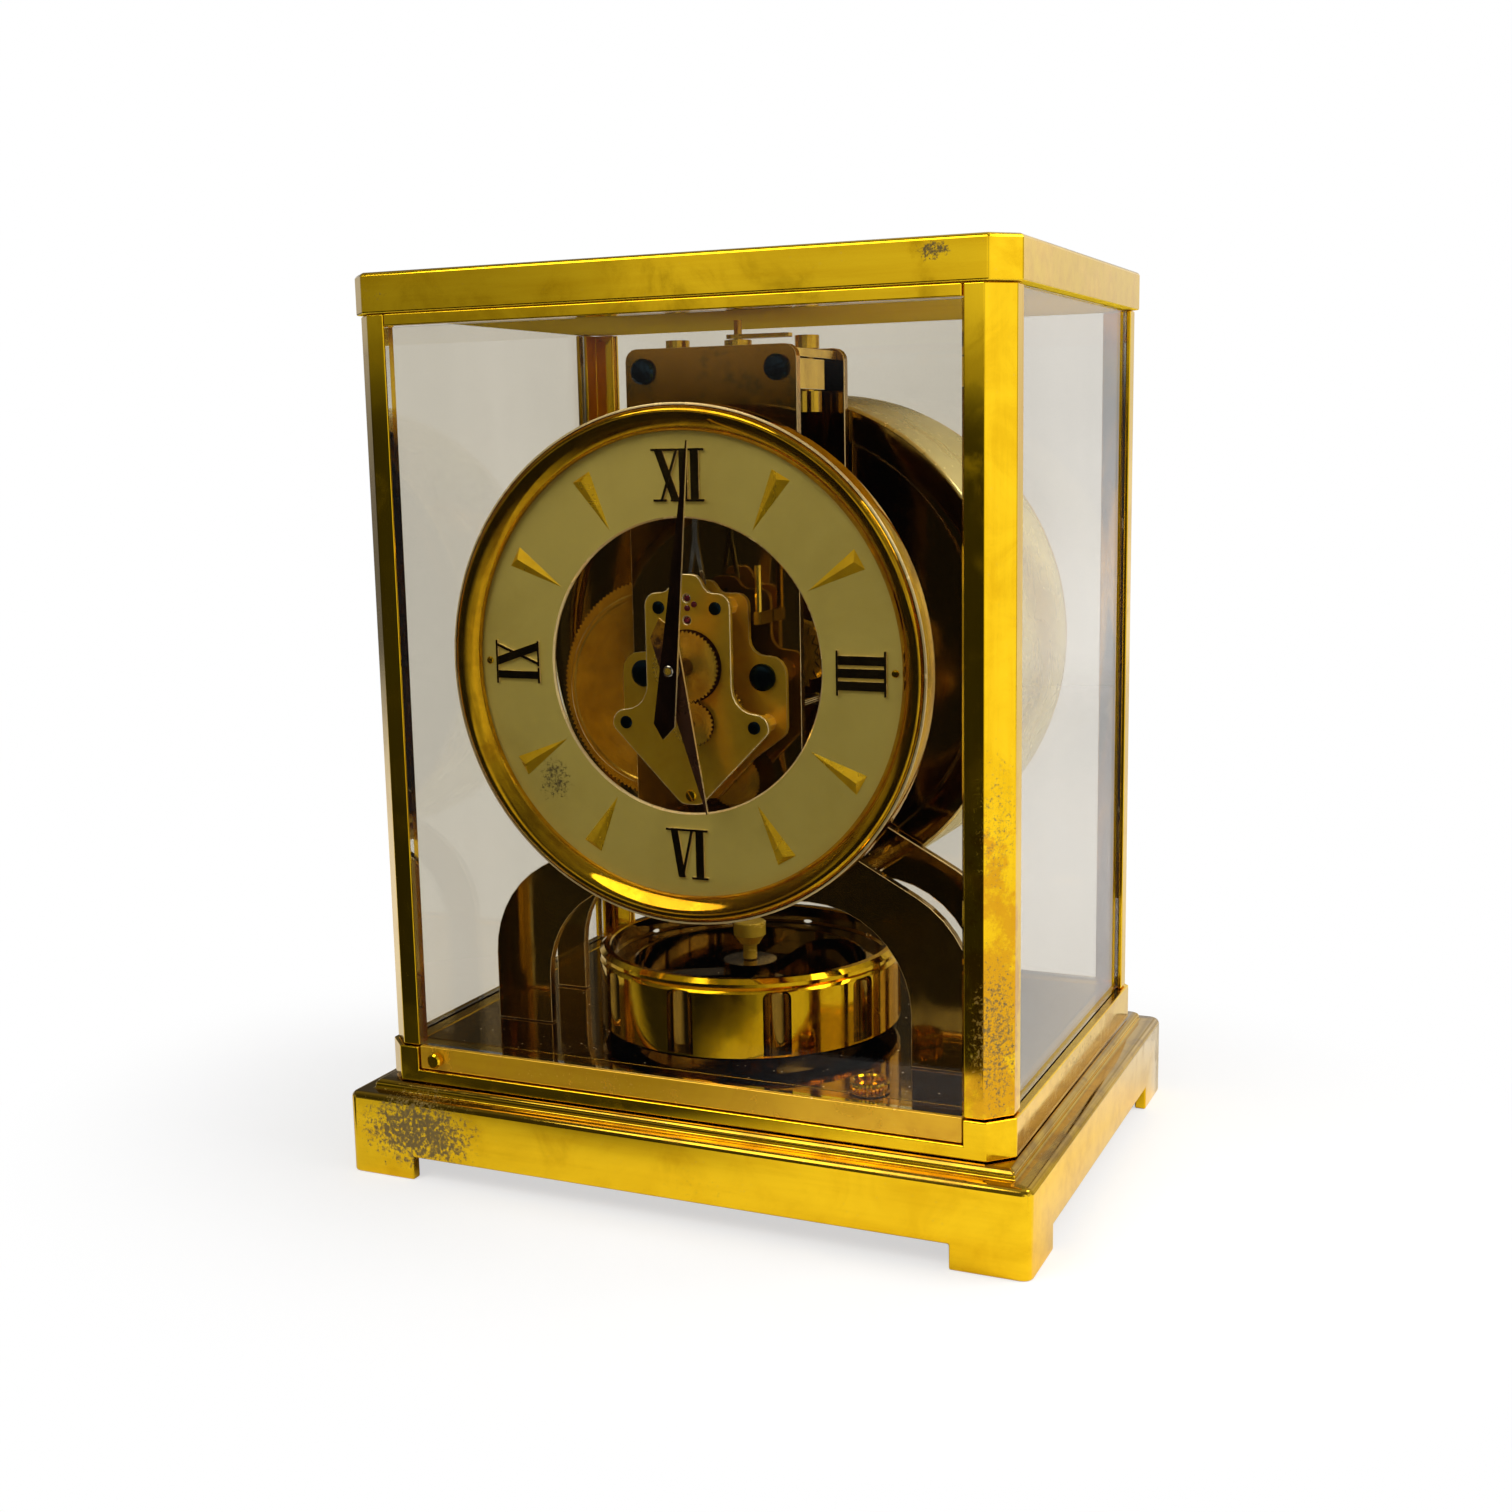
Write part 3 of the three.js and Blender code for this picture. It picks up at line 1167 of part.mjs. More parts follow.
const centreBody = bodyAt(centreArbor.x, 0, centreArbor.y);
piece(
  centreBody, "centre_wheel",
  fuse(
    arbor(MINUTE_HAND_Y - SEAT_GAP, rearPivot, CENTRE_ARBOR_RADIUS),
    pinion(CENTRE_PINION_TEETH, thirdModule, thirdWheelY, WHEEL_THICKNESS, THIRD_ANGLE),
    toothedDisc(CENTRE_WHEEL_TEETH, escapeModule, centreWheelY, WHEEL_THICKNESS, 90),
  ),
  GILT,
);
const thirdBody = bodyAt(thirdArbor.x, 0, thirdArbor.y);
const secondToThird = directionTo(secondArbor, thirdArbor);
piece(
  thirdBody, "third_wheel",
  fuse(
    arbor(MOTION_WHEEL_Y - SEAT_GAP, framePivot),
    toothedDisc(HOUR_PINION_TEETH, MOTION_MODULE, MOTION_WHEEL_Y, WHEEL_THICKNESS, THIRD_ANGLE + 180),
    toothedDisc(
      THIRD_WHEEL_TEETH, thirdModule, thirdWheelY, WHEEL_THICKNESS,
      THIRD_ANGLE + 180 + halfPitch(THIRD_WHEEL_TEETH),
    ),
    pinion(
      THIRD_PINION_TEETH, SECOND_MODULE, secondWheelY, WHEEL_THICKNESS,
      secondToThird + 180 + halfPitch(THIRD_PINION_TEETH),
    ),
  ),
  GILT,
);
const secondBody = bodyAt(secondArbor.x, 0, secondArbor.y);
const firstToSecond = directionTo(firstArbor, secondArbor);
piece(
  secondBody, "second_wheel",
  fuse(
    arbor(MOVEMENT_REAR_Y + PIVOT_GAP, framePivot),
    toothedDisc(SECOND_WHEEL_TEETH, SECOND_MODULE, secondWheelY, WHEEL_THICKNESS, secondToThird),
    pinion(
      SECOND_PINION_TEETH, FIRST_MODULE, firstWheelY, WHEEL_THICKNESS,
      firstToSecond + 180 + halfPitch(SECOND_PINION_TEETH),
    ),
  ),
  GILT,
);
const firstBody = bodyAt(firstArbor.x, 0, firstArbor.y);
const firstPinionY = BARREL_WHEEL_Y - RUNNING_GAP;
const firstPinionLength = BARREL_WHEEL_THICKNESS + 2 * RUNNING_GAP;
piece(
  firstBody, "first_wheel",
  fuse(
    arbor(firstWheelY - RUNNING_GAP, firstPinionY + 1),
    toothedDisc(FIRST_WHEEL_TEETH, FIRST_MODULE, firstWheelY, WHEEL_THICKNESS, firstToSecond),
    toothedDisc(
      FIRST_PINION_TEETH, BARREL_MODULE, firstPinionY, firstPinionLength,
      BARREL_ANGLE + halfPitch(FIRST_PINION_TEETH),
    ),
  ),
  GILT,
);

function barrelForm() {
  const front = BARREL_DRUM_FRONT_Y;
  const back = front + BARREL_DRUM_DEPTH;
  return cut(
    fuse(
      turnedBack([
        [0, front], [BARREL_DRUM_RADIUS - BARREL_EDGE, front], [BARREL_DRUM_RADIUS, front + BARREL_EDGE],
        [BARREL_DRUM_RADIUS, back], [0, back],
      ], COARSE),
      toothedDisc(BARREL_TEETH, BARREL_MODULE, BARREL_WHEEL_Y, BARREL_WHEEL_THICKNESS, BARREL_ANGLE + 180),
    ),
    rodBack(BARREL_ARBOR_RADIUS + PIVOT_GAP, front - 1, back + 1),
  );
}

const barrelBody = bodyAt(barrelArbor.x, 0, barrelArbor.y);
piece(barrelBody, "mainspring_barrel", barrelForm(), GILT);
const windingBody = bodyAt(barrelArbor.x, 0, barrelArbor.y);
const rearPlatePivot = REAR_PLATE_Y + ARCH_PLATE_THICKNESS - PIVOT_GAP;
piece(
  windingBody, "winding_wheel",
  fuse(
    rodBack(BARREL_ARBOR_RADIUS, framePivot, rearPlatePivot),
    toothedDisc(WINDING_WHEEL_TEETH, WINDING_MODULE, WINDING_WHEEL_Y, WINDING_WHEEL_THICKNESS, WINDING_ANGLE),
  ),
  GILT,
);

function chainPulleyForm() {
  const back = PULLEY_Y + PULLEY_WIDTH;
  const wheel = cut(
    toothedDisc(
      WINDING_PINION_TEETH, WINDING_MODULE, WINDING_WHEEL_Y, WINDING_WHEEL_THICKNESS,
      WINDING_ANGLE + 180 + halfPitch(WINDING_PINION_TEETH),
    ),
    ...wheelWindows(
      WINDING_ARMS, WINDING_HUB_RADIUS, windingTip - WINDING_RIM, WINDING_ARM_WIDTH,
      WINDING_WHEEL_Y, WINDING_WHEEL_THICKNESS,
    ),
  );
  return fuse(
    rodBack(PULLEY_ARBOR_RADIUS, frontPlateBack - ARCH_PLATE_THICKNESS / 2, rearPlatePivot),
    wheel,
    turnedBack([
      [0, PULLEY_Y], [PULLEY_RADIUS, PULLEY_Y], [PULLEY_RADIUS - PULLEY_GROOVE, PULLEY_Y + PULLEY_GROOVE],
      [PULLEY_RADIUS - PULLEY_GROOVE, back - PULLEY_GROOVE], [PULLEY_RADIUS, back], [0, back],
    ], PULLEY_SIDES),
  );
}

piece(bodyAt(windingArbor.x, 0, windingArbor.y), "chain_pulley", chainPulleyForm(), GILT);

function clickForm() {
  const hub = rodBack(CLICK_HUB_RADIUS, WINDING_WHEEL_Y, WINDING_WHEEL_Y + WINDING_WHEEL_THICKNESS, SMALL);
  const arm = slabBack(shapeOf([
    new THREE.Vector2(-CLICK_LENGTH, 0),
    new THREE.Vector2(0, -CLICK_HUB_RADIUS),
    new THREE.Vector2(0, CLICK_HUB_RADIUS),
  ]), WINDING_WHEEL_Y, WINDING_WHEEL_THICKNESS).rotateY(-THREE.MathUtils.degToRad(CLICK_LEAN));
  const bore = rodBack(
    CLICK_STUD_RADIUS + PIVOT_GAP, WINDING_WHEEL_Y - 1, WINDING_WHEEL_Y + WINDING_WHEEL_THICKNESS + 1, SMALL,
  );
  return cut(fuse(hub, arm), bore);
}

piece(bodyAt(clickPivot.x, 0, clickPivot.y), "winding_click", clickForm(), STEEL);

// Escapement

function escapeWheelForm() {
  const points = Array.from({ length: ESCAPE_TEETH }, (_, i) => (
    [[ESCAPE_ROOT_RADIUS, -0.45], [ESCAPE_RADIUS, 0], [ESCAPE_ROOT_RADIUS, 0.12]].map(([radius, share]) => {
      const angle = 2 * Math.PI * (i + share) / ESCAPE_TEETH;
      return new THREE.Vector2(radius * Math.cos(angle), radius * Math.sin(angle));
    })
  )).flat();
  return fuse(
    slabBack(shapeOf(points), escapeWheelY, WHEEL_THICKNESS),
    arbor(frontPivot, rearPivot),
    pinion(
      ESCAPE_PINION_TEETH, escapeModule, centreWheelY, WHEEL_THICKNESS,
      270 + halfPitch(ESCAPE_PINION_TEETH),
    ),
  );
}

function palletLeverForm() {
  const front = escapeWheelY;
  const half = LEVER_ARM_WIDTH / 2;
  const forkTip = PENDULUM_Y - IMPULSE_PIN_OFFSET - IMPULSE_PIN_RADIUS - SEAT_GAP;
  const frame = shapeOf(roundedOutline(mirrored([
    [half, FORK_RISE + half, 0], [half, LEVER_SPLIT_RISE, 0], [LEVER_SPREAD, 3, 0], [1, 0.8, 0],
  ])));
  frame.holes.push(new THREE.Path([[0, LEVER_SPLIT_RISE - 2.6], [-1.35, 4], [1.35, 4]].map(([x, z]) => (
    new THREE.Vector2(x, z)
  ))));
  const anchor = shapeOf(roundedOutline(mirrored([
    [1, 1.5, 0], [PALLET_REACH + 0.6, -0.7, 0.4], [PALLET_REACH + 0.6, -PALLET_DROP, 0],
    [PALLET_REACH, -PALLET_DROP, 0], [PALLET_REACH - 0.3, -1.1, 0.3], [0.8, -0.9, 0],
  ])));
  const tine = (side) => block(
    side > 0 ? FORK_GAP : -FORK_GAP - FORK_TINE, side > 0 ? FORK_GAP + FORK_TINE : -FORK_GAP,
    forkTip - FORK_DEPTH, forkTip, FORK_RISE - half, FORK_RISE + half,
  );
  return fuse(
    arbor(frontPivot, rearPivot),
    slabBack(frame, front, LEVER_THICKNESS),
    slabBack(anchor, front, LEVER_THICKNESS),
    block(-half, half, front, forkTip - FORK_DEPTH, FORK_RISE - half, FORK_RISE + half),
    block(
      -FORK_GAP - FORK_TINE, FORK_GAP + FORK_TINE, forkTip - FORK_DEPTH - 1, forkTip - FORK_DEPTH,
      FORK_RISE - half, FORK_RISE + half,
    ),
    tine(-1), tine(1),
  );
}

piece(bodyAt(escapeArbor.x, 0, escapeArbor.y), "escape_wheel", escapeWheelForm(), GILT);
piece(bodyAt(leverPivot.x, 0, leverPivot.y), "pallet_lever", palletLeverForm(), STEEL);

// Motion work and hands. Each hand is a long lozenge that is widest near its tail.

function handForm(length, tail, halfWidth, widest, frontY, bossRadius, bore) {
  const shape = shapeOf([
    [0, length], [halfWidth, -widest], [0, -tail], [-halfWidth, -widest],
  ].map(([x, z]) => new THREE.Vector2(x, z)));
  const blade = slabBack(shape, frontY + HAND_EDGE, HAND_THICKNESS - 2 * HAND_EDGE, {
    bevelEnabled: true, bevelThickness: HAND_EDGE, bevelSize: HAND_EDGE, bevelOffset: -HAND_EDGE,
    bevelSegments: 1,
  });
  return cut(
    fuse(blade, rodBack(bossRadius, frontY - HAND_EDGE, frontY + HAND_THICKNESS, COARSE)),
    rodBack(bore, frontY - 1, frontY + HAND_THICKNESS + 1, SMALL),
  );
}

const hourBody = bodyAt(centreArbor.x, 0, centreArbor.y);
const tubeFront = HOUR_HAND_Y - SEAT_GAP;
piece(
  hourBody, "hour_wheel",
  cut(
    fuse(
      toothedDisc(
        HOUR_WHEEL_TEETH, MOTION_MODULE, MOTION_WHEEL_Y, WHEEL_THICKNESS,
        THIRD_ANGLE + halfPitch(HOUR_WHEEL_TEETH),
      ),
      rodBack(HOUR_TUBE_RADIUS, tubeFront, MOTION_WHEEL_Y + WHEEL_THICKNESS, SMALL),
    ),
    rodBack(CENTRE_ARBOR_RADIUS + PIVOT_GAP, tubeFront - 1, MOTION_WHEEL_Y + 2, SMALL),
  ),
  GILT,
);
piece(
  hourBody, "hour_hand",
  handForm(
    HOUR_HAND_LENGTH, HOUR_HAND_TAIL, HOUR_HAND_HALF_WIDTH, HOUR_HAND_WIDEST, HOUR_HAND_Y,
    HOUR_BOSS_RADIUS, HOUR_TUBE_RADIUS + SEAT_GAP,
  ).rotateY(THREE.MathUtils.degToRad(HOUR_HAND_ANGLE)),
  HAND_BROWN,
);
piece(
  centreBody, "minute_hand",
  handForm(
    MINUTE_HAND_LENGTH, MINUTE_HAND_TAIL, MINUTE_HAND_HALF_WIDTH, MINUTE_HAND_WIDEST, MINUTE_HAND_Y,
    MINUTE_BOSS_RADIUS, CENTRE_ARBOR_RADIUS + SEAT_GAP,
  ).rotateY(THREE.MathUtils.degToRad(MINUTE_HAND_ANGLE)),
  HAND_BROWN,
);

// Underside

function levellingScrewForm() {
  const tip = LEVELLING_TIP + LEVELLING_TIP_ROUND;
  return fuse(
    turnedUp([
      [0, LEVELLING_TIP], [LEVELLING_STEM_RADIUS / 2, LEVELLING_TIP], [LEVELLING_STEM_RADIUS, tip],
      [LEVELLING_STEM_RADIUS, deckUnderside - SEAT_GAP], [0, deckUnderside - SEAT_GAP],
    ], SMALL),
    knurledRodUp(
      LEVELLING_WHEEL_RADIUS, LEVELLING_WHEEL_Z, LEVELLING_WHEEL_Z + LEVELLING_WHEEL_HEIGHT, LEVELLING_KNURLS,
    ),
  );
}

for (const [name, x, y] of [
  ["levelling_screw_left", -levellingX, -levellingY], ["levelling_screw_right", levellingX, -levellingY],
  ["levelling_screw_back", 0, levellingY],
]) {
  piece(bodyAt(x, y), name, levellingScrewForm(), GILT);
}

const lock = bodyAt(0, PENDULUM_Y);
const lockLeverTop = deckUnderside - SEAT_GAP;
const lockLeverBottom = lockLeverTop - LOCK_LEVER_THICKNESS;
piece(lock, "pendulum_lock_pin", rodUp(LOCK_PIN_RADIUS, LOCK_PIN_BOTTOM, lockPinTop, COARSE), STEEL);
piece(
  lock, "pendulum_lock_lever",
  cut(
    fuse(
      rodUp(LOCK_HUB_RADIUS, lockLeverBottom, lockLeverTop, COARSE),
      block(-LOCK_LEVER_WIDTH / 2, LOCK_LEVER_WIDTH / 2, -lockLeverReach, 0, lockLeverBottom, lockLeverTop),
      block(
        -LOCK_LEVER_WIDTH / 2, LOCK_LEVER_WIDTH / 2, -lockLeverReach, -lockLeverReach + LOCK_LEVER_THICKNESS,
        lockLeverBottom - LOCK_TAB_DROP, lockLeverTop,
      ),
    ),
    rodUp(LOCK_PIN_RADIUS + PIVOT_GAP, lockLeverBottom - 1, lockLeverTop + 1, COARSE),
  ),
  POLISHED_BRASS,
);

export default clock;
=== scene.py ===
# Looks of a torsion pendulum clock in a glazed brass case.
# X runs to the right, Y from the front of the clock to its back, and Z up. The camera, the lamps,
# the table and the places in materials are in metres. Profiles, outlines and other sizes of pieces
# are in millimetres, and MM turns them into metres.
import json
import math

import bmesh
import bpy
from mathutils import Matrix, Vector

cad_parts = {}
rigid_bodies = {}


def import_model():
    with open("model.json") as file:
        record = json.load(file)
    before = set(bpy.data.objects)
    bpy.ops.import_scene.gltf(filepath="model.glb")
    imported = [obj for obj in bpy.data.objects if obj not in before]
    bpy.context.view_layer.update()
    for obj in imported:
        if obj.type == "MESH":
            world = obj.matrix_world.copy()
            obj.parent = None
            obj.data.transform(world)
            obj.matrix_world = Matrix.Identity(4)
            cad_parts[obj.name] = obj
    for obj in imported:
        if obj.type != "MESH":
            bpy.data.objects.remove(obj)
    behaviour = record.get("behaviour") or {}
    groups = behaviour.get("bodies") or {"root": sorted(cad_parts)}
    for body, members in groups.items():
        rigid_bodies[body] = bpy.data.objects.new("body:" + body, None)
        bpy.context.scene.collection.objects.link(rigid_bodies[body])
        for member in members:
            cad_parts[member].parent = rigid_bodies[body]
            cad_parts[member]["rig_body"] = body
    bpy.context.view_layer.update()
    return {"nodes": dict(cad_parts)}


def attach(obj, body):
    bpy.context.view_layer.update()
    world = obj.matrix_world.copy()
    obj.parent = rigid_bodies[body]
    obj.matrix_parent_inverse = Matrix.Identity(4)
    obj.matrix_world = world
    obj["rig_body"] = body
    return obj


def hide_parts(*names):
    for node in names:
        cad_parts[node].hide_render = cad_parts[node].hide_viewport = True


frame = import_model()
nodes = frame["nodes"]
MM = 0.001


# Camera, fitted to the photograph

CAMERA_PLACE = Vector((0.1932, -0.4413, 0.1829))
CAMERA_YAW = math.radians(24.05)
CAMERA_PITCH = math.radians(9.52)
CAMERA_ROLL = math.radians(-1.09)
FOCAL_LENGTH_PIXELS = 1861.6
PICTURE_PIXELS = 1512
SENSOR_MM = 36


def place_camera():
    ahead = Vector((
        -math.sin(CAMERA_YAW) * math.cos(CAMERA_PITCH),
        math.cos(CAMERA_YAW) * math.cos(CAMERA_PITCH),
        -math.sin(CAMERA_PITCH),
    ))
    level = Vector((math.cos(CAMERA_YAW), math.sin(CAMERA_YAW), 0))
    upright = level.cross(ahead)
    right = math.cos(CAMERA_ROLL) * level + math.sin(CAMERA_ROLL) * upright
    up = -math.sin(CAMERA_ROLL) * level + math.cos(CAMERA_ROLL) * upright
    lens = bpy.data.cameras.new("camera")
    lens.sensor_width = SENSOR_MM
    lens.lens = SENSOR_MM * FOCAL_LENGTH_PIXELS / PICTURE_PIXELS
    lens.clip_start = 0.01
    camera = bpy.data.objects.new("camera", lens)
    turn = Matrix((right, up, -ahead)).transposed().to_4x4()
    camera.matrix_world = Matrix.Translation(CAMERA_PLACE) @ turn
    bpy.context.scene.collection.objects.link(camera)
    bpy.context.scene.camera = camera


place_camera()


# Shader nodes

def add(tree, kind, inputs=(), **settings):
    """Adds a shader node. Each input is a plain value or another node's output."""
    made = tree.nodes.new("ShaderNode" + kind)
    for name, value in settings.items():
        setattr(made, name, value)
    for socket, value in dict(inputs).items():
        if isinstance(value, bpy.types.NodeSocket):
            tree.links.new(value, made.inputs[socket])
        else:
            made.inputs[socket].default_value = value
    return made


def calculate(tree, operation, first, second=0.0, clamp=False):
    return add(
        tree, "Math", {0: first, 1: second}, operation=operation, use_clamp=clamp,
    ).outputs[0]


def product(tree, first, *others):
    for other in others:
        first = calculate(tree, "MULTIPLY", first, other)
    return first


def spread(tree, value, low, high, to_low=0.0, to_high=1.0):
    """Maps the range low to high smoothly onto the range to_low to to_high."""
    return add(
        tree, "MapRange",
        {"Value": value, "From Min": low, "From Max": high, "To Min": to_low, "To Max": to_high},
        interpolation_type="SMOOTHSTEP",
    ).outputs["Result"]


def part_of(tree, vector, axis):
    return add(tree, "SeparateXYZ", {0: vector}).outputs[axis]


def blend_colours(tree, share, first, second):
    mix = add(tree, "Mix", data_type="RGBA")
    for socket, value in ((0, share), (6, first), (7, second)):
        if isinstance(value, bpy.types.NodeSocket):
            tree.links.new(value, mix.inputs[socket])
        else:
            mix.inputs[socket].default_value = value
    return mix.outputs[2]


def new_material(name):
    """A material with its node tree and its shader."""
    made = bpy.data.materials.new(name)
    made.use_nodes = True
    tree = made.node_tree
    return made, tree, tree.nodes["Principled BSDF"]


def effect(name, inputs, outputs):
    """An empty shader group with its named inputs and outputs."""
    tree = bpy.data.node_groups.new(name, "ShaderNodeTree")
    for label, kind, value in inputs:
        socket = tree.interface.new_socket(label, in_out="INPUT", socket_type="NodeSocket" + kind)
        socket.default_value = value
    for label in outputs:
        tree.interface.new_socket(label, in_out="OUTPUT", socket_type="NodeSocketFloat")
    entry = tree.nodes.new("NodeGroupInput")
    leaving = tree.nodes.new("NodeGroupOutput")
    return tree, entry.outputs, leaving.inputs


def place_in_object(tree):
    return add(tree, "TexCoord").outputs["Object"]


def polishing_effect():
    """Fine polishing lines, drawn out along the grain, over long soft waves."""
    tree, given, result = effect(
        "polishing lines",
        [("Grain", "Vector", (1, 1, 1)), ("Brush", "Float", 0.05), ("Waves", "Float", 0.5)],
        ["Shade", "Height"],
    )
    place = place_in_object(tree)
    drawn_out = add(tree, "VectorMath", {0: place, 1: given["Grain"]}, operation="MULTIPLY")
    lines = add(
        tree, "TexNoise",
        {"Vector": drawn_out.outputs[0], "Scale": 260.0, "Detail": 6.0, "Roughness": 0.65},
    ).outputs["Fac"]
    waves = add(
        tree, "TexNoise", {"Vector": place, "Scale": 34.0, "Detail": 2.0, "Roughness": 0.4},
    ).outputs["Fac"]
    height = calculate(
        tree, "ADD",
        calculate(tree, "MULTIPLY", lines, given["Brush"]),
        calculate(tree, "MULTIPLY", waves, given["Waves"]),
    )
    tree.links.new(lines, result["Shade"])
    tree.links.new(height, result["Height"])
    return tree


def handling_effect():
    """Soft cloudy marks left by hands and cloths."""
    tree, given, result = effect("handling marks", [("Scale", "Float", 60.0)], ["Mask"])
    clouds = add(
        tree, "TexNoise",
        {"Vector": place_in_object(tree), "Scale": given["Scale"], "Detail": 7.0, "Roughness": 0.62,
         "Distortion": 0.6},
    ).outputs["Fac"]
    tree.links.new(spread(tree, clouds, 0.38, 0.72), result["Mask"])
    return tree


def tarnish_effect():
    """A patch of spots where lacquer has failed, thick in its middle and sparse at its rim."""
    tree, given, result = effect(
        "tarnished patch",
        [("Centre", "Vector", (0, 0, 0)), ("Reach", "Vector", (1, 1, 1)),
         ("Cover", "Float", 0.5), ("Scale", "Float", 700.0)],
        ["Mask"],
    )
    place = place_in_object(tree)
    offset = add(tree, "VectorMath", {0: place, 1: given["Centre"]}, operation="SUBTRACT")
    scaled = add(tree, "VectorMath", {0: offset.outputs[0], 1: given["Reach"]}, operation="DIVIDE")
    away = add(tree, "VectorMath", {0: scaled.outputs[0]}, operation="LENGTH").outputs["Value"]
    inside = calculate(tree, "MULTIPLY", spread(tree, away, 0.1, 1.0, 1.0, 0.0), given["Cover"])
    spots = add(
        tree, "TexNoise",
        {"Vector": place, "Scale": given["Scale"], "Detail": 9.0, "Roughness": 0.78},
    ).outputs["Fac"]
    over = calculate(tree, "SUBTRACT", calculate(tree, "ADD", spots, inside), 1.0)
    tree.links.new(spread(tree, over, -0.03, 0.09), result["Mask"])
    return tree


def dust_effect():
    """Settled specks, mostly on faces that look up."""
    tree, given, result = effect("settled dust", [("Amount", "Float", 0.3)], ["Mask"])
    upward = part_of(tree, add(tree, "NewGeometry").outputs["Normal"], "Z")
    lying = spread(tree, upward, 0.2, 0.95, 0.12, 1.0)
    place = place_in_object(tree)
    specks = add(
        tree, "TexVoronoi", {"Vector": place, "Scale": 620.0, "Randomness": 1.0},
    ).outputs["Distance"]
    chosen = add(tree, "TexNoise", {"Vector": place, "Scale": 210.0, "Detail": 3.0}).outputs["Fac"]
    dots = spread(tree, specks, 0.1, 0.2, 1.0, 0.0)
    strewn = spread(tree, chosen, 0.52, 0.66)
    tree.links.new(product(tree, dots, strewn, lying, given["Amount"]), result["Mask"])
    return tree


def turning_effect():
    """Rings left by the lathe on a disc that faces the front of the clock."""
    tree, given, result = effect("lathe rings", [("Centre", "Vector", (0, 0, 0))], ["Height"])
    offset = add(
        tree, "VectorMath", {0: place_in_object(tree), 1: given["Centre"]}, operation="SUBTRACT",
    )
    flat = add(tree, "VectorMath", {0: offset.outputs[0], 1: (1, 0, 1)}, operation="MULTIPLY")
    radius = add(tree, "VectorMath", {0: flat.outputs[0]}, operation="LENGTH").outputs["Value"]
    along = add(tree, "CombineXYZ", {"X": radius}).outputs[0]
    rings = add(
        tree, "TexNoise", {"Vector": along, "Scale": 1900.0, "Detail": 3.0, "Roughness": 0.6},
    ).outputs["Fac"]
    tree.links.new(rings, result["Height"])
    return tree


POLISHING = polishing_effect()
HANDLING = handling_effect()
TARNISH = tarnish_effect()
DUST = dust_effect()
TURNING = turning_effect()


def use(tree, group, **inputs):
    made = tree.nodes.new("ShaderNodeGroup")
    made.node_tree = group
    for label, value in inputs.items():
        made.inputs[label].default_value = value
    return made.outputs


# Metals

# Grain stretches the polishing lines along one axis
ALONG_X = (0.06, 1, 1)
ALONG_Y = (1, 0.06, 1)
ALONG_Z = (1, 1, 0.06)
NO_GRAIN = (1, 1, 1)
DUST_COLOUR = (0.62, 0.58, 0.5, 1)
DUST_ROUGHNESS = 0.5
AMBER = (0.6, 0.27, 0.012, 1)
AMBER_COVER = 0.62
AMBER_SCALE = 90.0
AMBER_SHARE = 0.75
STAIN_COLOUR = (0.2, 0.135, 0.04, 1)
STAIN_ROUGHNESS = 0.4
STAIN_BARENESS = 0.35
LATHE_RELIEF = 0.09


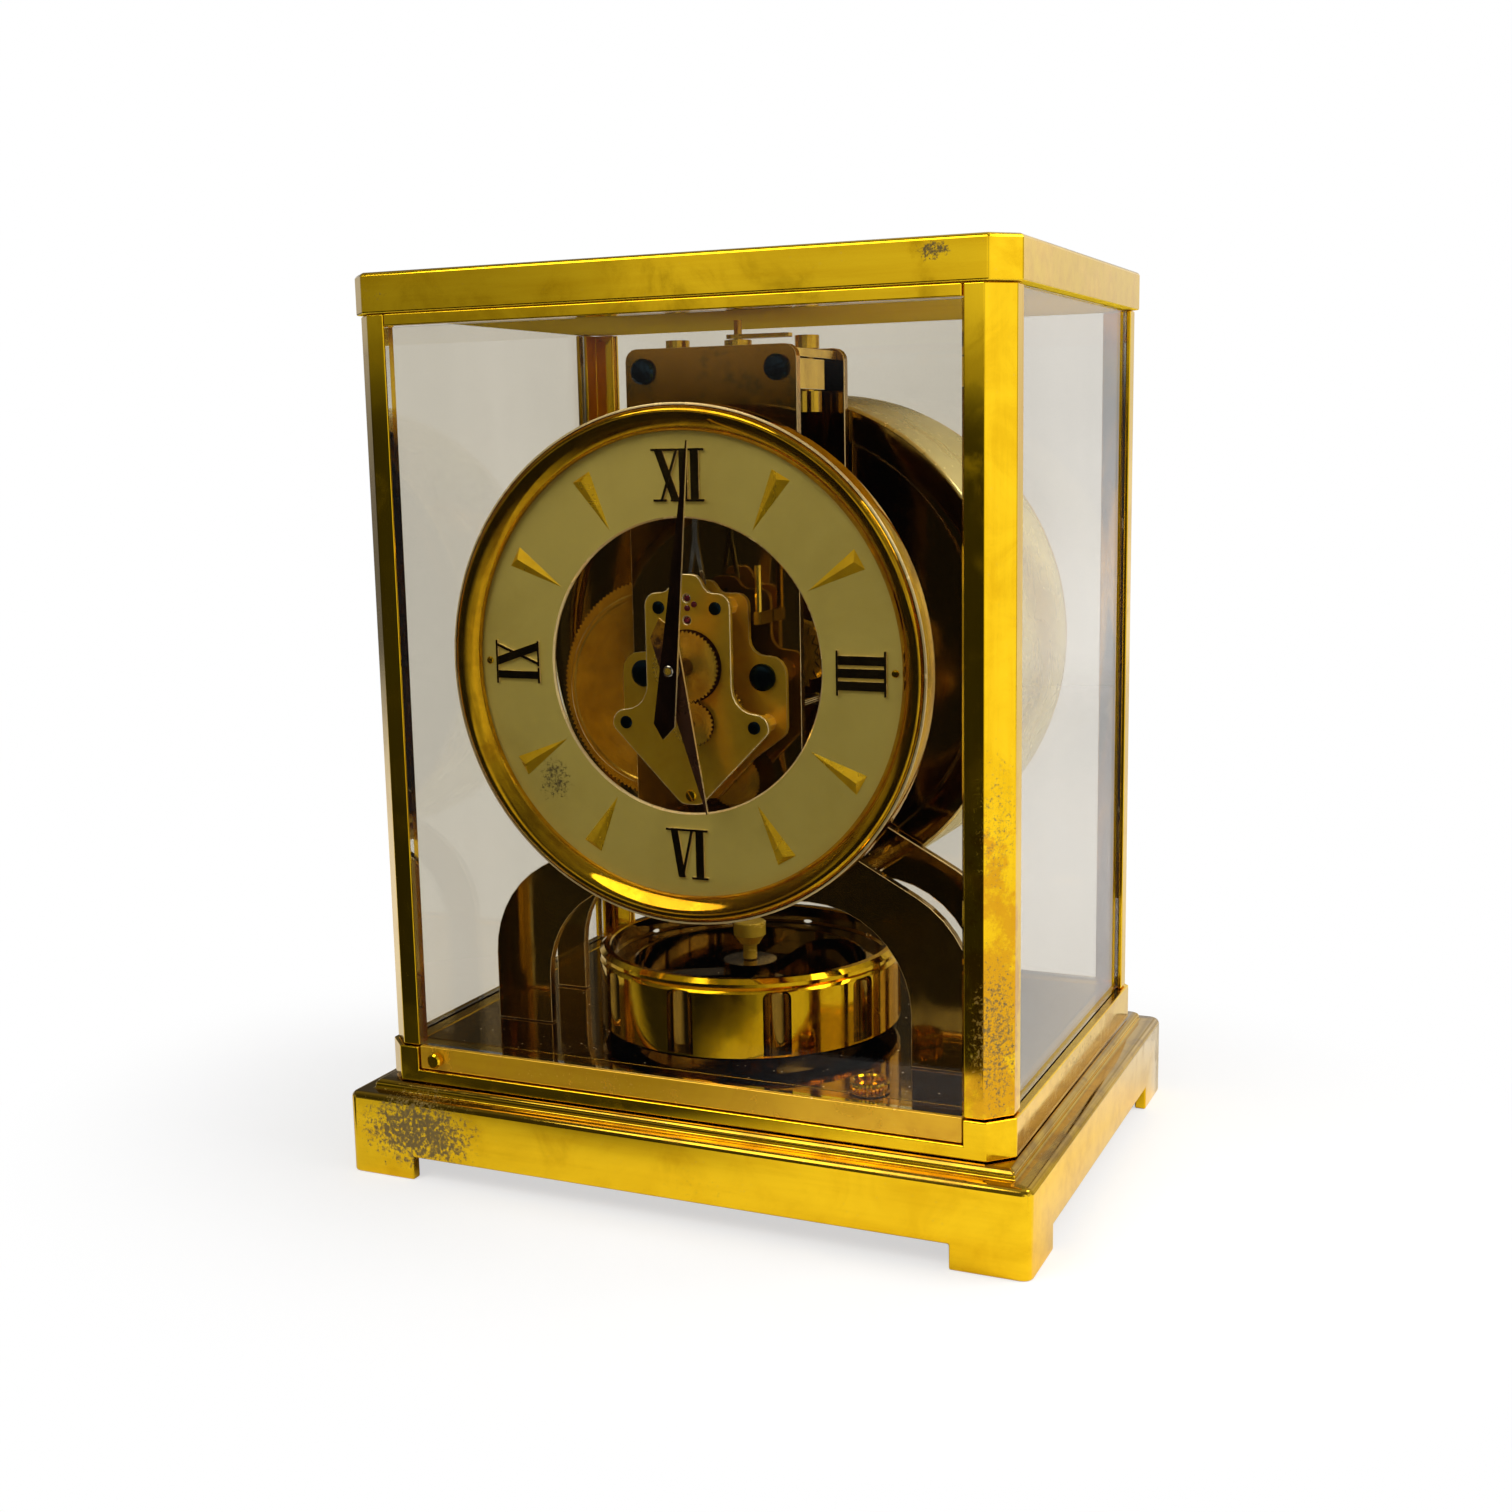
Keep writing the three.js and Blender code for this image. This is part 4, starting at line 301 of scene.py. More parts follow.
def metal(
    name, colour, deep, gloss=(0.07, 0.2), grain=ALONG_X, brush=0.03, waves=0.5, relief=0.12,
    marks=70.0, patches=(), dust=0.3, lathe_centre=None, worn=0.45, flank_shade=None, toned=(),
    mirror=1.0, glance=(1, 1, 1), top_shade=None,
):
    """A polished metal that turns to its deep colour where it is worn. Gloss gives its roughness
    where it is clean and where it is handled.

    Patches are (centre, reach, cover, scale) of failed lacquer, and toned ones are (centre, reach)
    of amber lacquer. A flank_shade colour is painted shade on what doesn't face the front or the
    back, and a top_shade colour is painted shade on what faces up. A mirror share below 1 leaves a
    satin part, and glance tints what is seen at a shallow angle.
    """
    made, tree, shader = new_material(name)
    polish = use(tree, POLISHING, Grain=grain, Brush=brush, Waves=waves)
    handled = use(tree, HANDLING, Scale=marks)["Mask"]
    settled = use(tree, DUST, Amount=dust)["Mask"]
    wear = calculate(tree, "ADD", handled, spread(tree, polish["Shade"], 0.35, 0.75))
    surface = blend_colours(tree, product(tree, wear, worn), (*colour, 1), (*deep, 1))
    for centre, reach in toned:
        amber = use(
            tree, TARNISH, Centre=centre, Reach=reach, Cover=AMBER_COVER, Scale=AMBER_SCALE,
        )["Mask"]
        surface = blend_colours(tree, product(tree, amber, AMBER_SHARE), surface, AMBER)
    # Painted shade: a dark colour on faces that don't face the front or the back, such as the sides
    # of teeth
    if flank_shade:
        facing = part_of(tree, add(tree, "NewGeometry").outputs["True Normal"], "Y")
        side = spread(tree, calculate(tree, "ABSOLUTE", facing), 0.6, 0.3)
        surface = blend_colours(tree, side, surface, (*flank_shade, 1))
    # Painted shade: a dark colour on faces that look up
    if top_shade:
        facing = part_of(tree, add(tree, "NewGeometry").outputs["True Normal"], "Z")
        uneven = spread(tree, handled, 0.0, 1.0, 0.75, 1.0)
        lying = product(tree, spread(tree, facing, 0.15, 0.5), uneven)
        surface = blend_colours(tree, lying, surface, (*top_shade, 1))
    stained = 0.0
    for centre, reach, cover, scale in patches:
        patch = use(tree, TARNISH, Centre=centre, Reach=reach, Cover=cover, Scale=scale)["Mask"]
        stained = calculate(tree, "MAXIMUM", patch, stained)
    rough = spread(tree, handled, 0.0, 1.0, *gloss)
    bare = settled
    if patches:
        surface = blend_colours(tree, stained, surface, STAIN_COLOUR)
        rough = calculate(tree, "ADD", rough, product(tree, stained, STAIN_ROUGHNESS))
        bare = calculate(tree, "ADD", settled, product(tree, stained, STAIN_BARENESS), True)
    surface = blend_colours(tree, settled, surface, DUST_COLOUR)
    rough = calculate(tree, "ADD", rough, product(tree, settled, DUST_ROUGHNESS), True)
    height = polish["Height"]
    if lathe_centre:
        rings = use(tree, TURNING, Centre=lathe_centre)["Height"]
        height = calculate(tree, "ADD", height, product(tree, rings, LATHE_RELIEF))
    bump = add(tree, "Bump", {"Strength": relief, "Distance": MM, "Height": height})
    solid = calculate(tree, "SUBTRACT", 1.0, bare, True)
    tree.links.new(surface, shader.inputs["Base Color"])
    tree.links.new(rough, shader.inputs["Roughness"])
    tree.links.new(product(tree, solid, mirror), shader.inputs["Metallic"])
    tree.links.new(bump.outputs[0], shader.inputs["Normal"])
    shader.inputs["Specular Tint"].default_value = (*glance, 1)
    return made


BRASS = (0.86, 0.54, 0.012)
BRASS_DEEP = (0.66, 0.36, 0.004)
GILT = (0.84, 0.54, 0.05)
GILT_DEEP = (0.52, 0.28, 0.02)
DARK = (0.32, 0.19, 0.03)
DARK_DEEP = (0.18, 0.1, 0.015)

PLINTH_PATCHES = (
    ((-0.069, -0.066, 0.013), (0.045, 0.03, 0.026), 0.58, 900.0),
    ((0.01, -0.067, 0.01), (0.05, 0.01, 0.014), 0.4, 1200.0),
)
POST_PATCHES = (
    ((0.081, -0.06, 0.052), (0.02, 0.02, 0.06), 0.52, 1100.0),
    ((0.081, -0.06, 0.1), (0.02, 0.02, 0.06), 0.46, 1300.0),
)
FRAME_PATCHES = (
    ((0.083, 0.0, 0.03), (0.02, 0.07, 0.012), 0.44, 1000.0),
    ((-0.02, -0.06, 0.03), (0.08, 0.01, 0.008), 0.4, 1100.0),
)
CAP_PATCHES = (
    ((0.066, -0.06, 0.222), (0.01, 0.01, 0.006), 0.55, 900.0),
    ((-0.074, -0.06, 0.22), (0.014, 0.01, 0.008), 0.42, 900.0),
)

# The plinth carries painted shade on its faces that look up
plinth_brass = metal(
    "lacquered brass of the plinth", BRASS, BRASS_DEEP, patches=PLINTH_PATCHES, relief=0.07,
    top_shade=(0.27, 0.15, 0.015),
)
cap_brass = metal("lacquered brass of the cap", BRASS, BRASS_DEEP, patches=CAP_PATCHES)
# Painted reflection: the faces of the cap that look down get a diffuse colour without specular,
# standing in for what the brass reflects there
painted_cap_underside = metal(
    "underside of the cap with painted reflection", (1.0, 0.7, 0.035), (0.9, 0.6, 0.025), gloss=(0.5, 0.6), mirror=0.0,
)
painted_underside_shader = painted_cap_underside.node_tree.nodes["Principled BSDF"]
painted_underside_shader.inputs["Specular IOR Level"].default_value = 0.0
frame_brass = metal("lacquered brass of the frame", BRASS, BRASS_DEEP, patches=FRAME_PATCHES)
rail_brass = metal(
    "satin brass of the door rail", (0.78, 0.43, 0.012), (0.56, 0.27, 0.006), gloss=(0.18, 0.3),
    patches=FRAME_PATCHES, mirror=0.55,
)
post_brass = metal(
    "lacquered brass of the posts", BRASS, BRASS_DEEP, grain=ALONG_Z, patches=POST_PATCHES,
    toned=(((0.081, -0.06, 0.06), (0.025, 0.025, 0.11)),),
)
round_brass = metal(
    "turned brass", BRASS, BRASS_DEEP, gloss=(0.05, 0.14), grain=NO_GRAIN, brush=0.008, waves=0.25,
)
bezel_brass = metal(
    "turned brass of the bezel", (0.78, 0.46, 0.016), (0.52, 0.26, 0.008), gloss=(0.05, 0.14),
    grain=NO_GRAIN, brush=0.008, waves=0.35, worn=0.6,
    toned=(((0.012, -0.052, 0.074), (0.07, 0.03, 0.03)),),
)
ring_brass = metal(
    "polished brass of the pendulum", BRASS, BRASS_DEEP, gloss=(0.06, 0.16), grain=ALONG_Z,
    brush=0.02, waves=0.2,
)
gilt = metal("gilt brass", GILT, GILT_DEEP, gloss=(0.16, 0.3), grain=ALONG_Z, brush=0.02, waves=0.1)
movement_gilt = metal(
    "gilt movement plates", (0.84, 0.51, 0.03), (0.6, 0.31, 0.012), gloss=(0.28, 0.33),
    grain=NO_GRAIN, brush=0.01, waves=0.02, marks=60.0, worn=0.3, mirror=0.85,
    toned=(((0.004, -0.0465, 0.128), (0.014, 0.012, 0.022)),),
)
satin_gilt = metal(
    "satin gilt brass", BRASS, BRASS_DEEP, gloss=(0.26, 0.36), grain=NO_GRAIN, brush=0.01,
    waves=0.02, mirror=0.75,
)
# Painted light: a paler, more diffuse gilt for the collar, which the lamps barely reach
painted_light_gilt = metal(
    "gilt brass with painted light", (1.0, 0.68, 0.06), (0.8, 0.5, 0.03), gloss=(0.2, 0.3), grain=NO_GRAIN,
    brush=0.01, waves=0.02, mirror=0.35,
)
dark_mirror = metal(
    "dark mirror brass", DARK, DARK_DEEP, gloss=(0.05, 0.13), grain=ALONG_Z, brush=0.012, waves=0.2,
    dust=0.5,
)
# Amber towards the top of the front arch plate
front_mirror = metal(
    "dark mirror brass, amber towards the top", DARK, DARK_DEEP, gloss=(0.05, 0.13), grain=ALONG_Z,
    brush=0.012, waves=0.2, dust=0.5, mirror=0.95,
    toned=(((0, -0.031, 0.215), (0.12, 0.05, 0.085)),),
)
floor_mirror = metal(
    "mirror floor", (0.5, 0.31, 0.04), (0.32, 0.18, 0.02), gloss=(0.05, 0.14), brush=0.01,
    waves=0.15, dust=0.75,
)
drum_mirror = metal(
    "dark turned drum", DARK, DARK_DEEP, gloss=(0.07, 0.16), grain=NO_GRAIN, brush=0.005,
    waves=0.1, lathe_centre=(0, 0, 0.1303), relief=0.05,
)
# Satin finish with painted sheen: a pale, partly diffuse colour on the side of the drum
drum_side_sheen = metal(
    "satin side of the drum with painted sheen", (0.9, 0.76, 0.34), (0.72, 0.6, 0.26), gloss=(0.24, 0.3),
    grain=ALONG_Y, waves=0.05, relief=0.03, worn=0.2, glance=(0.9, 0.86, 0.6), mirror=0.6,
)
steel = metal(
    "polished steel", (0.6, 0.58, 0.54), (0.4, 0.38, 0.35), gloss=(0.14, 0.28), brush=0.02,
    waves=0.1,
)
blued = metal(
    "blued steel", (0.012, 0.03, 0.045), (0.005, 0.012, 0.02), gloss=(0.12, 0.25), brush=0.01,
    waves=0.1, dust=0.2,
)
brown_steel = metal(
    "brown lacquered hands", (0.11, 0.045, 0.02), (0.05, 0.02, 0.01), gloss=(0.14, 0.26),
    grain=ALONG_Z, brush=0.02, waves=0.05, dust=0.15,
)
worn_steel = metal(
    "brown lacquer worn near the tail", (0.08, 0.03, 0.012), (0.04, 0.016, 0.008), gloss=(0.2, 0.3),
    grain=ALONG_Z, brush=0.02, waves=0.05, dust=0.15, mirror=0.6,
    toned=(((-0.003, -0.0553, 0.144), (0.03, 0.02, 0.022)),),
)
# Painted highlight: a pale, partly diffuse gold for chamfers and eased edges
painted_highlight_edge = metal(
    "edges with painted highlight", (1.0, 0.8, 0.42), (0.95, 0.68, 0.3), gloss=(0.2, 0.3), grain=NO_GRAIN,
    brush=0.01, waves=0.05, dust=0.0, mirror=0.6,
)
# Painted shadow: a dark colour for rings behind the teeth of wheels and pinions
painted_wheel_shadow = metal(
    "painted shadow round the wheels", (0.09, 0.03, 0.006), (0.05, 0.015, 0.004), gloss=(0.35, 0.5),
    grain=NO_GRAIN,
)
# Painted dark reflection: the flat faces of the numerals are dark
dark_reflection_gilt = metal(
    "dark faces of the numerals", (0.13, 0.085, 0.025), (0.07, 0.045, 0.012), gloss=(0.12, 0.24),
    grain=NO_GRAIN, brush=0.01, waves=0.05, dust=0.1,
)

# Painted shade between the teeth of the wheels
TOOTH_SHADE = (0.07, 0.02, 0.004)


def lathe_gilt(name, centre, colour=GILT):
    """Gilt brass with the lathe's rings round the arbor at the centre, and painted shade on its
    teeth.
    """
    return metal(
        name, colour, GILT_DEEP, gloss=(0.16, 0.26), grain=NO_GRAIN, brush=0.01, waves=0.05,
        relief=0.6, lathe_centre=centre, dust=0.1, flank_shade=TOOTH_SHADE, mirror=0.75,
    )


# Dial, jewels and glass

def silvered_dial():
    """Champagne satin with a fine tooth, darker where the lacquer has failed near the eight."""
    made, tree, shader = new_material("champagne satin dial")
    place = place_in_object(tree)
    tooth = add(
        tree, "TexNoise", {"Vector": place, "Scale": 2600.0, "Detail": 4.0, "Roughness": 0.7},
    ).outputs["Fac"]
    clouds = use(tree, HANDLING, Scale=28.0)["Mask"]
    patch = use(
        tree, TARNISH, Centre=(-0.036, -0.049, 0.1025), Reach=(0.014, 0.01, 0.017), Cover=0.52,
        Scale=1500.0,
    )["Mask"]
    specks = use(
        tree, TARNISH, Centre=(0.0, -0.049, 0.131), Reach=(0.06, 0.01, 0.06), Cover=0.33,
        Scale=900.0,
    )["Mask"]
    satin = blend_colours(tree, clouds, (0.64, 0.51, 0.12, 1), (0.55, 0.43, 0.093, 1))
    worn = blend_colours(tree, patch, satin, (0.1, 0.075, 0.03, 1))
    worn = blend_colours(tree, specks, worn, (0.16, 0.12, 0.05, 1))
    rough = calculate(
        tree, "ADD", spread(tree, tooth, 0.3, 0.7, 0.36, 0.5), product(tree, patch, 0.25),
    )
    bump = add(tree, "Bump", {"Strength": 0.06, "Distance": MM, "Height": tooth})
    tree.links.new(worn, shader.inputs["Base Color"])
    tree.links.new(rough, shader.inputs["Roughness"])
    tree.links.new(bump.outputs[0], shader.inputs["Normal"])
    shader.inputs["Metallic"].default_value = 0.5
    return made


def ruby():
    made, tree, shader = new_material("ruby jewels")
    clouds = use(tree, HANDLING, Scale=900.0)["Mask"]
    tree.links.new(
        blend_colours(tree, clouds, (0.09, 0.004, 0.012, 1), (0.04, 0.002, 0.006, 1)),
        shader.inputs["Base Color"],
    )
    shader.inputs["Roughness"].default_value = 0.08
    return made


def pane(name, tint, streaked, ior):
    """Clear glass that lamps shine through, with a thin film of wiped dust."""
    made, tree, shader = new_material(name)
    wiped = add(
        tree, "VectorMath", {0: place_in_object(tree), 1: (1, 1, 0.3)}, operation="MULTIPLY",
    ).outputs[0]
    film = add(
        tree, "TexNoise", {"Vector": wiped, "Scale": 22.0, "Detail": 5.0, "Roughness": 0.5},
    ).outputs["Fac"]
    share = spread(tree, film, 0.35, 0.7)
    tree.links.new(
        blend_colours(tree, share, (*tint, 1), (*streaked, 1)), shader.inputs["Base Color"],
    )
    shader.inputs["Roughness"].default_value = 0.0
    shader.inputs["IOR"].default_value = ior
    shader.inputs["Transmission Weight"].default_value = 1.0
    clear = add(tree, "BsdfTransparent")
    lamp = add(tree, "LightPath").outputs["Is Shadow Ray"]
    both = add(tree, "MixShader", {0: lamp, 1: shader.outputs[0], 2: clear.outputs[0]})
    tree.links.new(both.outputs[0], tree.nodes["Material Output"].inputs["Surface"])
    return made


dial_satin = silvered_dial()
jewel = ruby()
door_glass = pane("glass of the door", (0.73, 0.705, 0.635), (0.69, 0.67, 0.6), 1.25)
side_glass = pane("glass of the sides", (0.83, 0.8, 0.74), (0.79, 0.76, 0.7), 1.5)


# Making pieces

def link(name, mesh, body, slot, *materials):
    """Puts a finished mesh into the scene as a piece that rides on a body."""
    made = bpy.data.objects.new(name, mesh)
    bpy.context.scene.collection.objects.link(made)
    for material in materials:
        mesh.materials.append(material)
    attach(made, body)
    return made


def finished(name, form, crease=35):
    """Makes a mesh of a bmesh, with smooth faces that meet at creases sharper than an angle."""
    bmesh.ops.remove_doubles(form, verts=form.verts, dist=1e-7)
    bmesh.ops.recalc_face_normals(form, faces=form.faces)
    mesh = bpy.data.meshes.new(name)
    form.to_mesh(mesh)
    form.free()
    mesh.shade_smooth()
    mesh.set_sharp_from_angle(angle=math.radians(crease))
    return mesh


def lathe(profile, centre, axis="Y", steps=160, ribs=()):
    """Turns a closed profile of (radius, place along the axis).

    Points of the profile named in ribs get a knurl: every second step is drawn in by that much.
    """
    form = bmesh.new()
    drawn_in = dict(ribs)
    rows = []
    for i, (radius, along) in enumerate(profile):
        row = []
        for j in range(steps):
            angle = 2 * math.pi * j / steps
            r = radius - drawn_in.get(i, 0) * (j % 2)
            sine, cosine = r * math.sin(angle), r * math.cos(angle)
            if axis == "Y":
                point = Vector((centre[0] + sine, along, centre[1] + cosine))
            else:
                point = Vector((centre[0] + cosine, centre[1] + sine, along))
            row.append(form.verts.new(point * MM))
        rows.append(row)
    for i, row in enumerate(rows):
        after = rows[(i + 1) % len(rows)]
        for j in range(steps):
            k = (j + 1) % steps
            form.faces.new((row[j], row[k], after[k], after[j]))
    bmesh.ops.dissolve_degenerate(form, edges=form.edges, dist=1e-7)
    return form


def turned(name, profile, centre, body, slot, *materials, axis="Y", steps=160, ribs=(), crease=35):
    """Turns a profile and puts it into the scene as a piece."""
    mesh = finished(name, lathe(profile, centre, axis, steps, ribs), crease)
    return link(name, mesh, body, slot, *materials)


def arc(centre, radius, start, end, steps):
    """Points of an arc in a profile, angles in degrees from the radius towards the axis."""
    points = []
    for i in range(steps + 1):
        angle = math.radians(start + (end - start) * i / steps)
        points.append((centre[0] + radius * math.cos(angle), centre[1] + radius * math.sin(angle)))
    return points


def paint_faces(mesh, centre, chosen, axis="Y"):
    """Gives the second material to faces that are chosen by their distance from an axis and their
    place along it.
    """
    for face in mesh.polygons:
        middle = face.center / MM
        across, along = (middle.z, middle.y) if axis == "Y" else (middle.y, middle.z)
        radius = math.hypot(middle.x - centre[0], across - centre[1])
        face.material_index = 1 if chosen(radius, along) else 0


def ease(piece, width, edge_slot=-1):
    """Rounds the edges of a piece that are sharper than 28 degrees."""
    bevel = piece.modifiers.new("eased edges", "BEVEL")
    bevel.width = width * MM
    bevel.segments = 2
    bevel.limit_method = "ANGLE"
    bevel.angle_limit = math.radians(28)
    bevel.harden_normals = True
    bevel.use_clamp_overlap = True
    bevel.material = edge_slot


def eased_copy(node, material, slot, width, edge=None):
    """A copy of the CAD node with its edges rounded, standing for that node. A material for the
    edges may be given too.
    """
    form = bmesh.new()
    form.from_mesh(nodes[node].data)
    bmesh.ops.remove_doubles(form, verts=form.verts, dist=1e-6)
    bmesh.ops.dissolve_limit(
        form, angle_limit=math.radians(0.3), verts=form.verts, edges=form.edges, delimit=set(),
    )
    name = node + "_eased"
    materials = [material, edge] if edge else [material]
    piece = link(name, finished(name, form), nodes[node]["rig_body"], slot, *materials)
    ease(piece, width, edge_slot=1 if edge else -1)
    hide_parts(node)
    return piece


def carved(piece, *cutters):
    """Cuts other forms out of a piece for good."""
    for cutter in cutters:
        knife = piece.modifiers.new("cut", "BOOLEAN")
        knife.operation = "DIFFERENCE"
        knife.solver = "EXACT"
        knife.object = cutter
    drawn = piece.evaluated_get(bpy.context.evaluated_depsgraph_get())
    mesh = bpy.data.meshes.new_from_object(drawn)
    piece.modifiers.clear()
    piece.data = mesh
    mesh.shade_smooth()
    mesh.set_sharp_from_angle(angle=math.radians(35))
    for cutter in cutters:
        bpy.data.objects.remove(cutter)


def tool(name, form):
    """A cutter for carved()."""
    made = bpy.data.objects.new(name, finished(name, form))
    bpy.context.scene.collection.objects.link(made)
    return made


def dress(material, *names):
    for name in names:
        data = nodes[name].data
        data.materials.clear()
        data.materials.append(material)


# Case

# Each with its material and the width of its eased edges
CASE_PARTS = (
    ("plinth", plinth_brass, 0.5),
    ("top_cap", cap_brass, 0.4),
    ("lower_case_frame", frame_brass, 0.35),
    ("post_front_left", post_brass, 0.3),
    ("post_front_right", post_brass, 0.3),
    ("post_back_left", post_brass, 0.3),
    ("post_back_right", post_brass, 0.3),
    ("door_bottom_rail", rail_brass, 0.3),
    ("door_top_rail", frame_brass, 0.3),
)
FACES_DOWN = -0.9
case = {
    node: eased_copy(node, material, "polished_brass", width)
    for node, material, width in CASE_PARTS
}
cap_mesh = case["top_cap"].data
# Faces that look down take the painted reflection of the underside
cap_mesh.materials.append(painted_cap_underside)
for face in cap_mesh.polygons:
    face.material_index = 1 if face.normal.z < FACES_DOWN else 0
eased_copy("floor_plate", floor_mirror, "mirror_brass", 0.2)
dress(door_glass, "door_glass")
dress(side_glass, "side_glass_left", "side_glass_right", "back_glass")
dress(round_brass, "door_latch_stud", "pendulum_lock_lever")
dress(gilt, "levelling_screw_left", "levelling_screw_right", "levelling_screw_back")


def spirit_level():
    """Knurled ring round a bright dished floor."""
    foot, rim, knurl = 33.3, 36.1, 0.35
    profile = [
        (0, foot), (4.7, foot), (4.9, foot + 0.2), (4.9, rim - 0.5), (4.5, rim), (3.9, rim),
        (3.5, rim - 0.4), (3.3, foot + 1.3), (1.8, foot + 0.8), (0, foot + 0.7),
    ]
    piece = turned(
        "knurled_level", profile, (46.5, -50.5), "case", "polished_brass", round_brass,
        axis="Z", steps=64, ribs={2: knurl, 3: knurl}, crease=25,
    )
    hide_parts("spirit_level")


spirit_level()


# Movement frame and suspension

FRAME_EDGE = 0.25
# Painted highlight on the eased edges of the arch plates, the suspension bridge and block
eased_copy("front_arch_plate", front_mirror, "mirror_brass", FRAME_EDGE, painted_highlight_edge)
eased_copy("rear_arch_plate", dark_mirror, "mirror_brass", FRAME_EDGE, painted_highlight_edge)
for name in ("suspension_bridge", "suspension_block"):
    eased_copy(name, gilt, "gilt_brass", FRAME_EDGE, painted_highlight_edge)
dress(
    gilt, "plate_pillar_left", "plate_pillar_right", "bridge_screw_left", "bridge_screw_right",
    "suspension_head", "regulator_lever", "bellows", "dial_carrier", "steady_rod",
)
# Painted shade: the spider inside the ring takes the dark mirror brass
dress(dark_mirror, "pendulum_spider")
dress(
    steel, "suspension_wire", "impulse_roller", "pallet_lever", "winding_click",
    "pendulum_lock_pin",
)


# Screws

FRONT_ARCH_FACE = -31
REAR_MOVEMENT_FACE = -38.3
FRONT_MOVEMENT_FACE = -46.5
DIAL_FACE = -49
SEAT_GAP = 0.05


def screw_head(name, x, z, face, radius, height, slot_angle, material):
    """A domed and slotted screw head on a face that looks to the front."""
    seat = face - SEAT_GAP
    edge = radius * 0.18
    slot_width = radius * 0.2
    profile = [
        (0, seat), (radius, seat), (radius, seat - height + edge), (radius - edge, seat - height),
        (radius * 0.5, seat - height * 1.1), (0, seat - height * 1.15),
    ]
    piece = turned(name, profile, (x, z), "case", "lacquered_hands", material, steps=48)
    form = bmesh.new()
    size = Vector((2.4 * radius, height * 0.9, slot_width)) * MM
    bmesh.ops.create_cube(form, size=1, matrix=Matrix.Diagonal(size).to_4x4())
    turn = Matrix.Rotation(math.radians(slot_angle), 4, "Y")
    form.transform(Matrix.Translation(Vector((x, seat - height * 1.1, z)) * MM) @ turn)
    carved(piece, tool(name + "_slot", form))


# Pairs of screws, each with its distance from the middle, its height, the face it sits on, the
# radius and height of its head, the sense in which its slot is turned, and its material
SCREW_PAIRS = (
    ("plate_screw", 17.6, 200.6, FRONT_ARCH_FACE, 3.1, 1.4, 1, blued),
    ("stand_screw", 15.8, 128.1, REAR_MOVEMENT_FACE, 3.3, 1.3, -1, blued),
    ("top_screw", 7.4, 145, FRONT_MOVEMENT_FACE, 1.55, 0.5, 1, blued),
    ("ear_screw", 16.9, 117.1, FRONT_MOVEMENT_FACE, 1.55, 0.5, -1, blued),
    ("dial_screw", 53, 131.4, DIAL_FACE, 0.9, 0.35, 1, round_brass),
)
for side, side_name, slot_angle in ((-1, "left", 40), (1, "right", -20)):
    for name, apart, z, face, radius, height, sign, material in SCREW_PAIRS:
        screw_head(
            f"{name}_{side_name}", side * apart, z, face, radius, height, sign * slot_angle,
            material,
        )
screw_head("lower_screw", 0, 100, FRONT_MOVEMENT_FACE, 1.4, 0.5, 60, round_brass)


def jewels():
    """Small domed bearing stones in the front movement plate."""
    seat = FRONT_MOVEMENT_FACE - SEAT_GAP
    profile = [(0, seat), (0.75, seat), (0.7, seat - 0.16), (0.4, seat - 0.3), (0, seat - 0.34)]
    for i, centre in enumerate(((0.3, 147.3), (2.0, 145.9), (0.2, 145.0), (0.1, 142.1)), 1):
        turned(f"jewel_{i}", profile, centre, "case", "lacquered_hands", jewel, steps=32)


jewels()


# Wheel train

for name in ("movement_front_plate", "movement_rear_plate"):
    # Painted highlight on the eased edges of the movement plates
    eased_copy(name, movement_gilt, "gilt_brass", 0.5, painted_highlight_edge)
dress(lathe_gilt("gilt centre wheel", (0, 0, 0.1312)), "centre_wheel", "hour_wheel")
barrel_gilt = lathe_gilt("gilt barrel", (-0.017554, 0, 0.122484), (0.8, 0.5, 0.06))
dress(barrel_gilt, "mainspring_barrel", "winding_wheel")
dress(lathe_gilt("gilt third wheel", (0.001597, 0, 0.117604)), "third_wheel")
dress(lathe_gilt("gilt second wheel", (0.001872, 0, 0.109489)), "second_wheel")
dress(lathe_gilt("gilt first wheel", (0.0065, 0, 0.1023)), "first_wheel")
dress(lathe_gilt("gilt escape wheel", (0, 0, 0.1421)), "escape_wheel")
dress(lathe_gilt("gilt pulley", (0.012112, 0, 0.130766)), "chain_pulley")


def painted_shadow_ring(name, centre, inner, outer):
    """Dark ring of painted shadow on the front movement plate, round a wheel or pinion."""
    seat = FRONT_MOVEMENT_FACE - SEAT_GAP
    front = seat - 0.08
    profile = [(inner, seat), (inner, front), (outer, front), (outer, seat)]
    turned(name, profile, centre, "case", "gilt_brass", painted_wheel_shadow, steps=96)


painted_shadow_ring("hour_wheel_shadow", (0, 131.2), 7.9, 8.78)
painted_shadow_ring("third_pinion_shadow", (1.597, 117.604), 4.1, 4.95)


def barrel_lid():
    """Smooth lid of the barrel, turned with a shallow step."""
    profile = [
        (0, -28.3), (9.0, -28.3), (9.3, -28.05), (23.4, -28.05), (23.8, -28.25), (24.5, -28.25),
        (24.85, -27.9), (24.85, -25.5), (0, -25.5),
    ]
    turned(
        "barrel_lid", profile, (-17.554, 122.484), "barrel", "gilt_brass", barrel_gilt,
        steps=120, crease=25,
    )


barrel_lid()


# Drum behind the rear plate

DRUM_CENTRE = (0, 130.3)
DRUM_RADIUS = 65.4


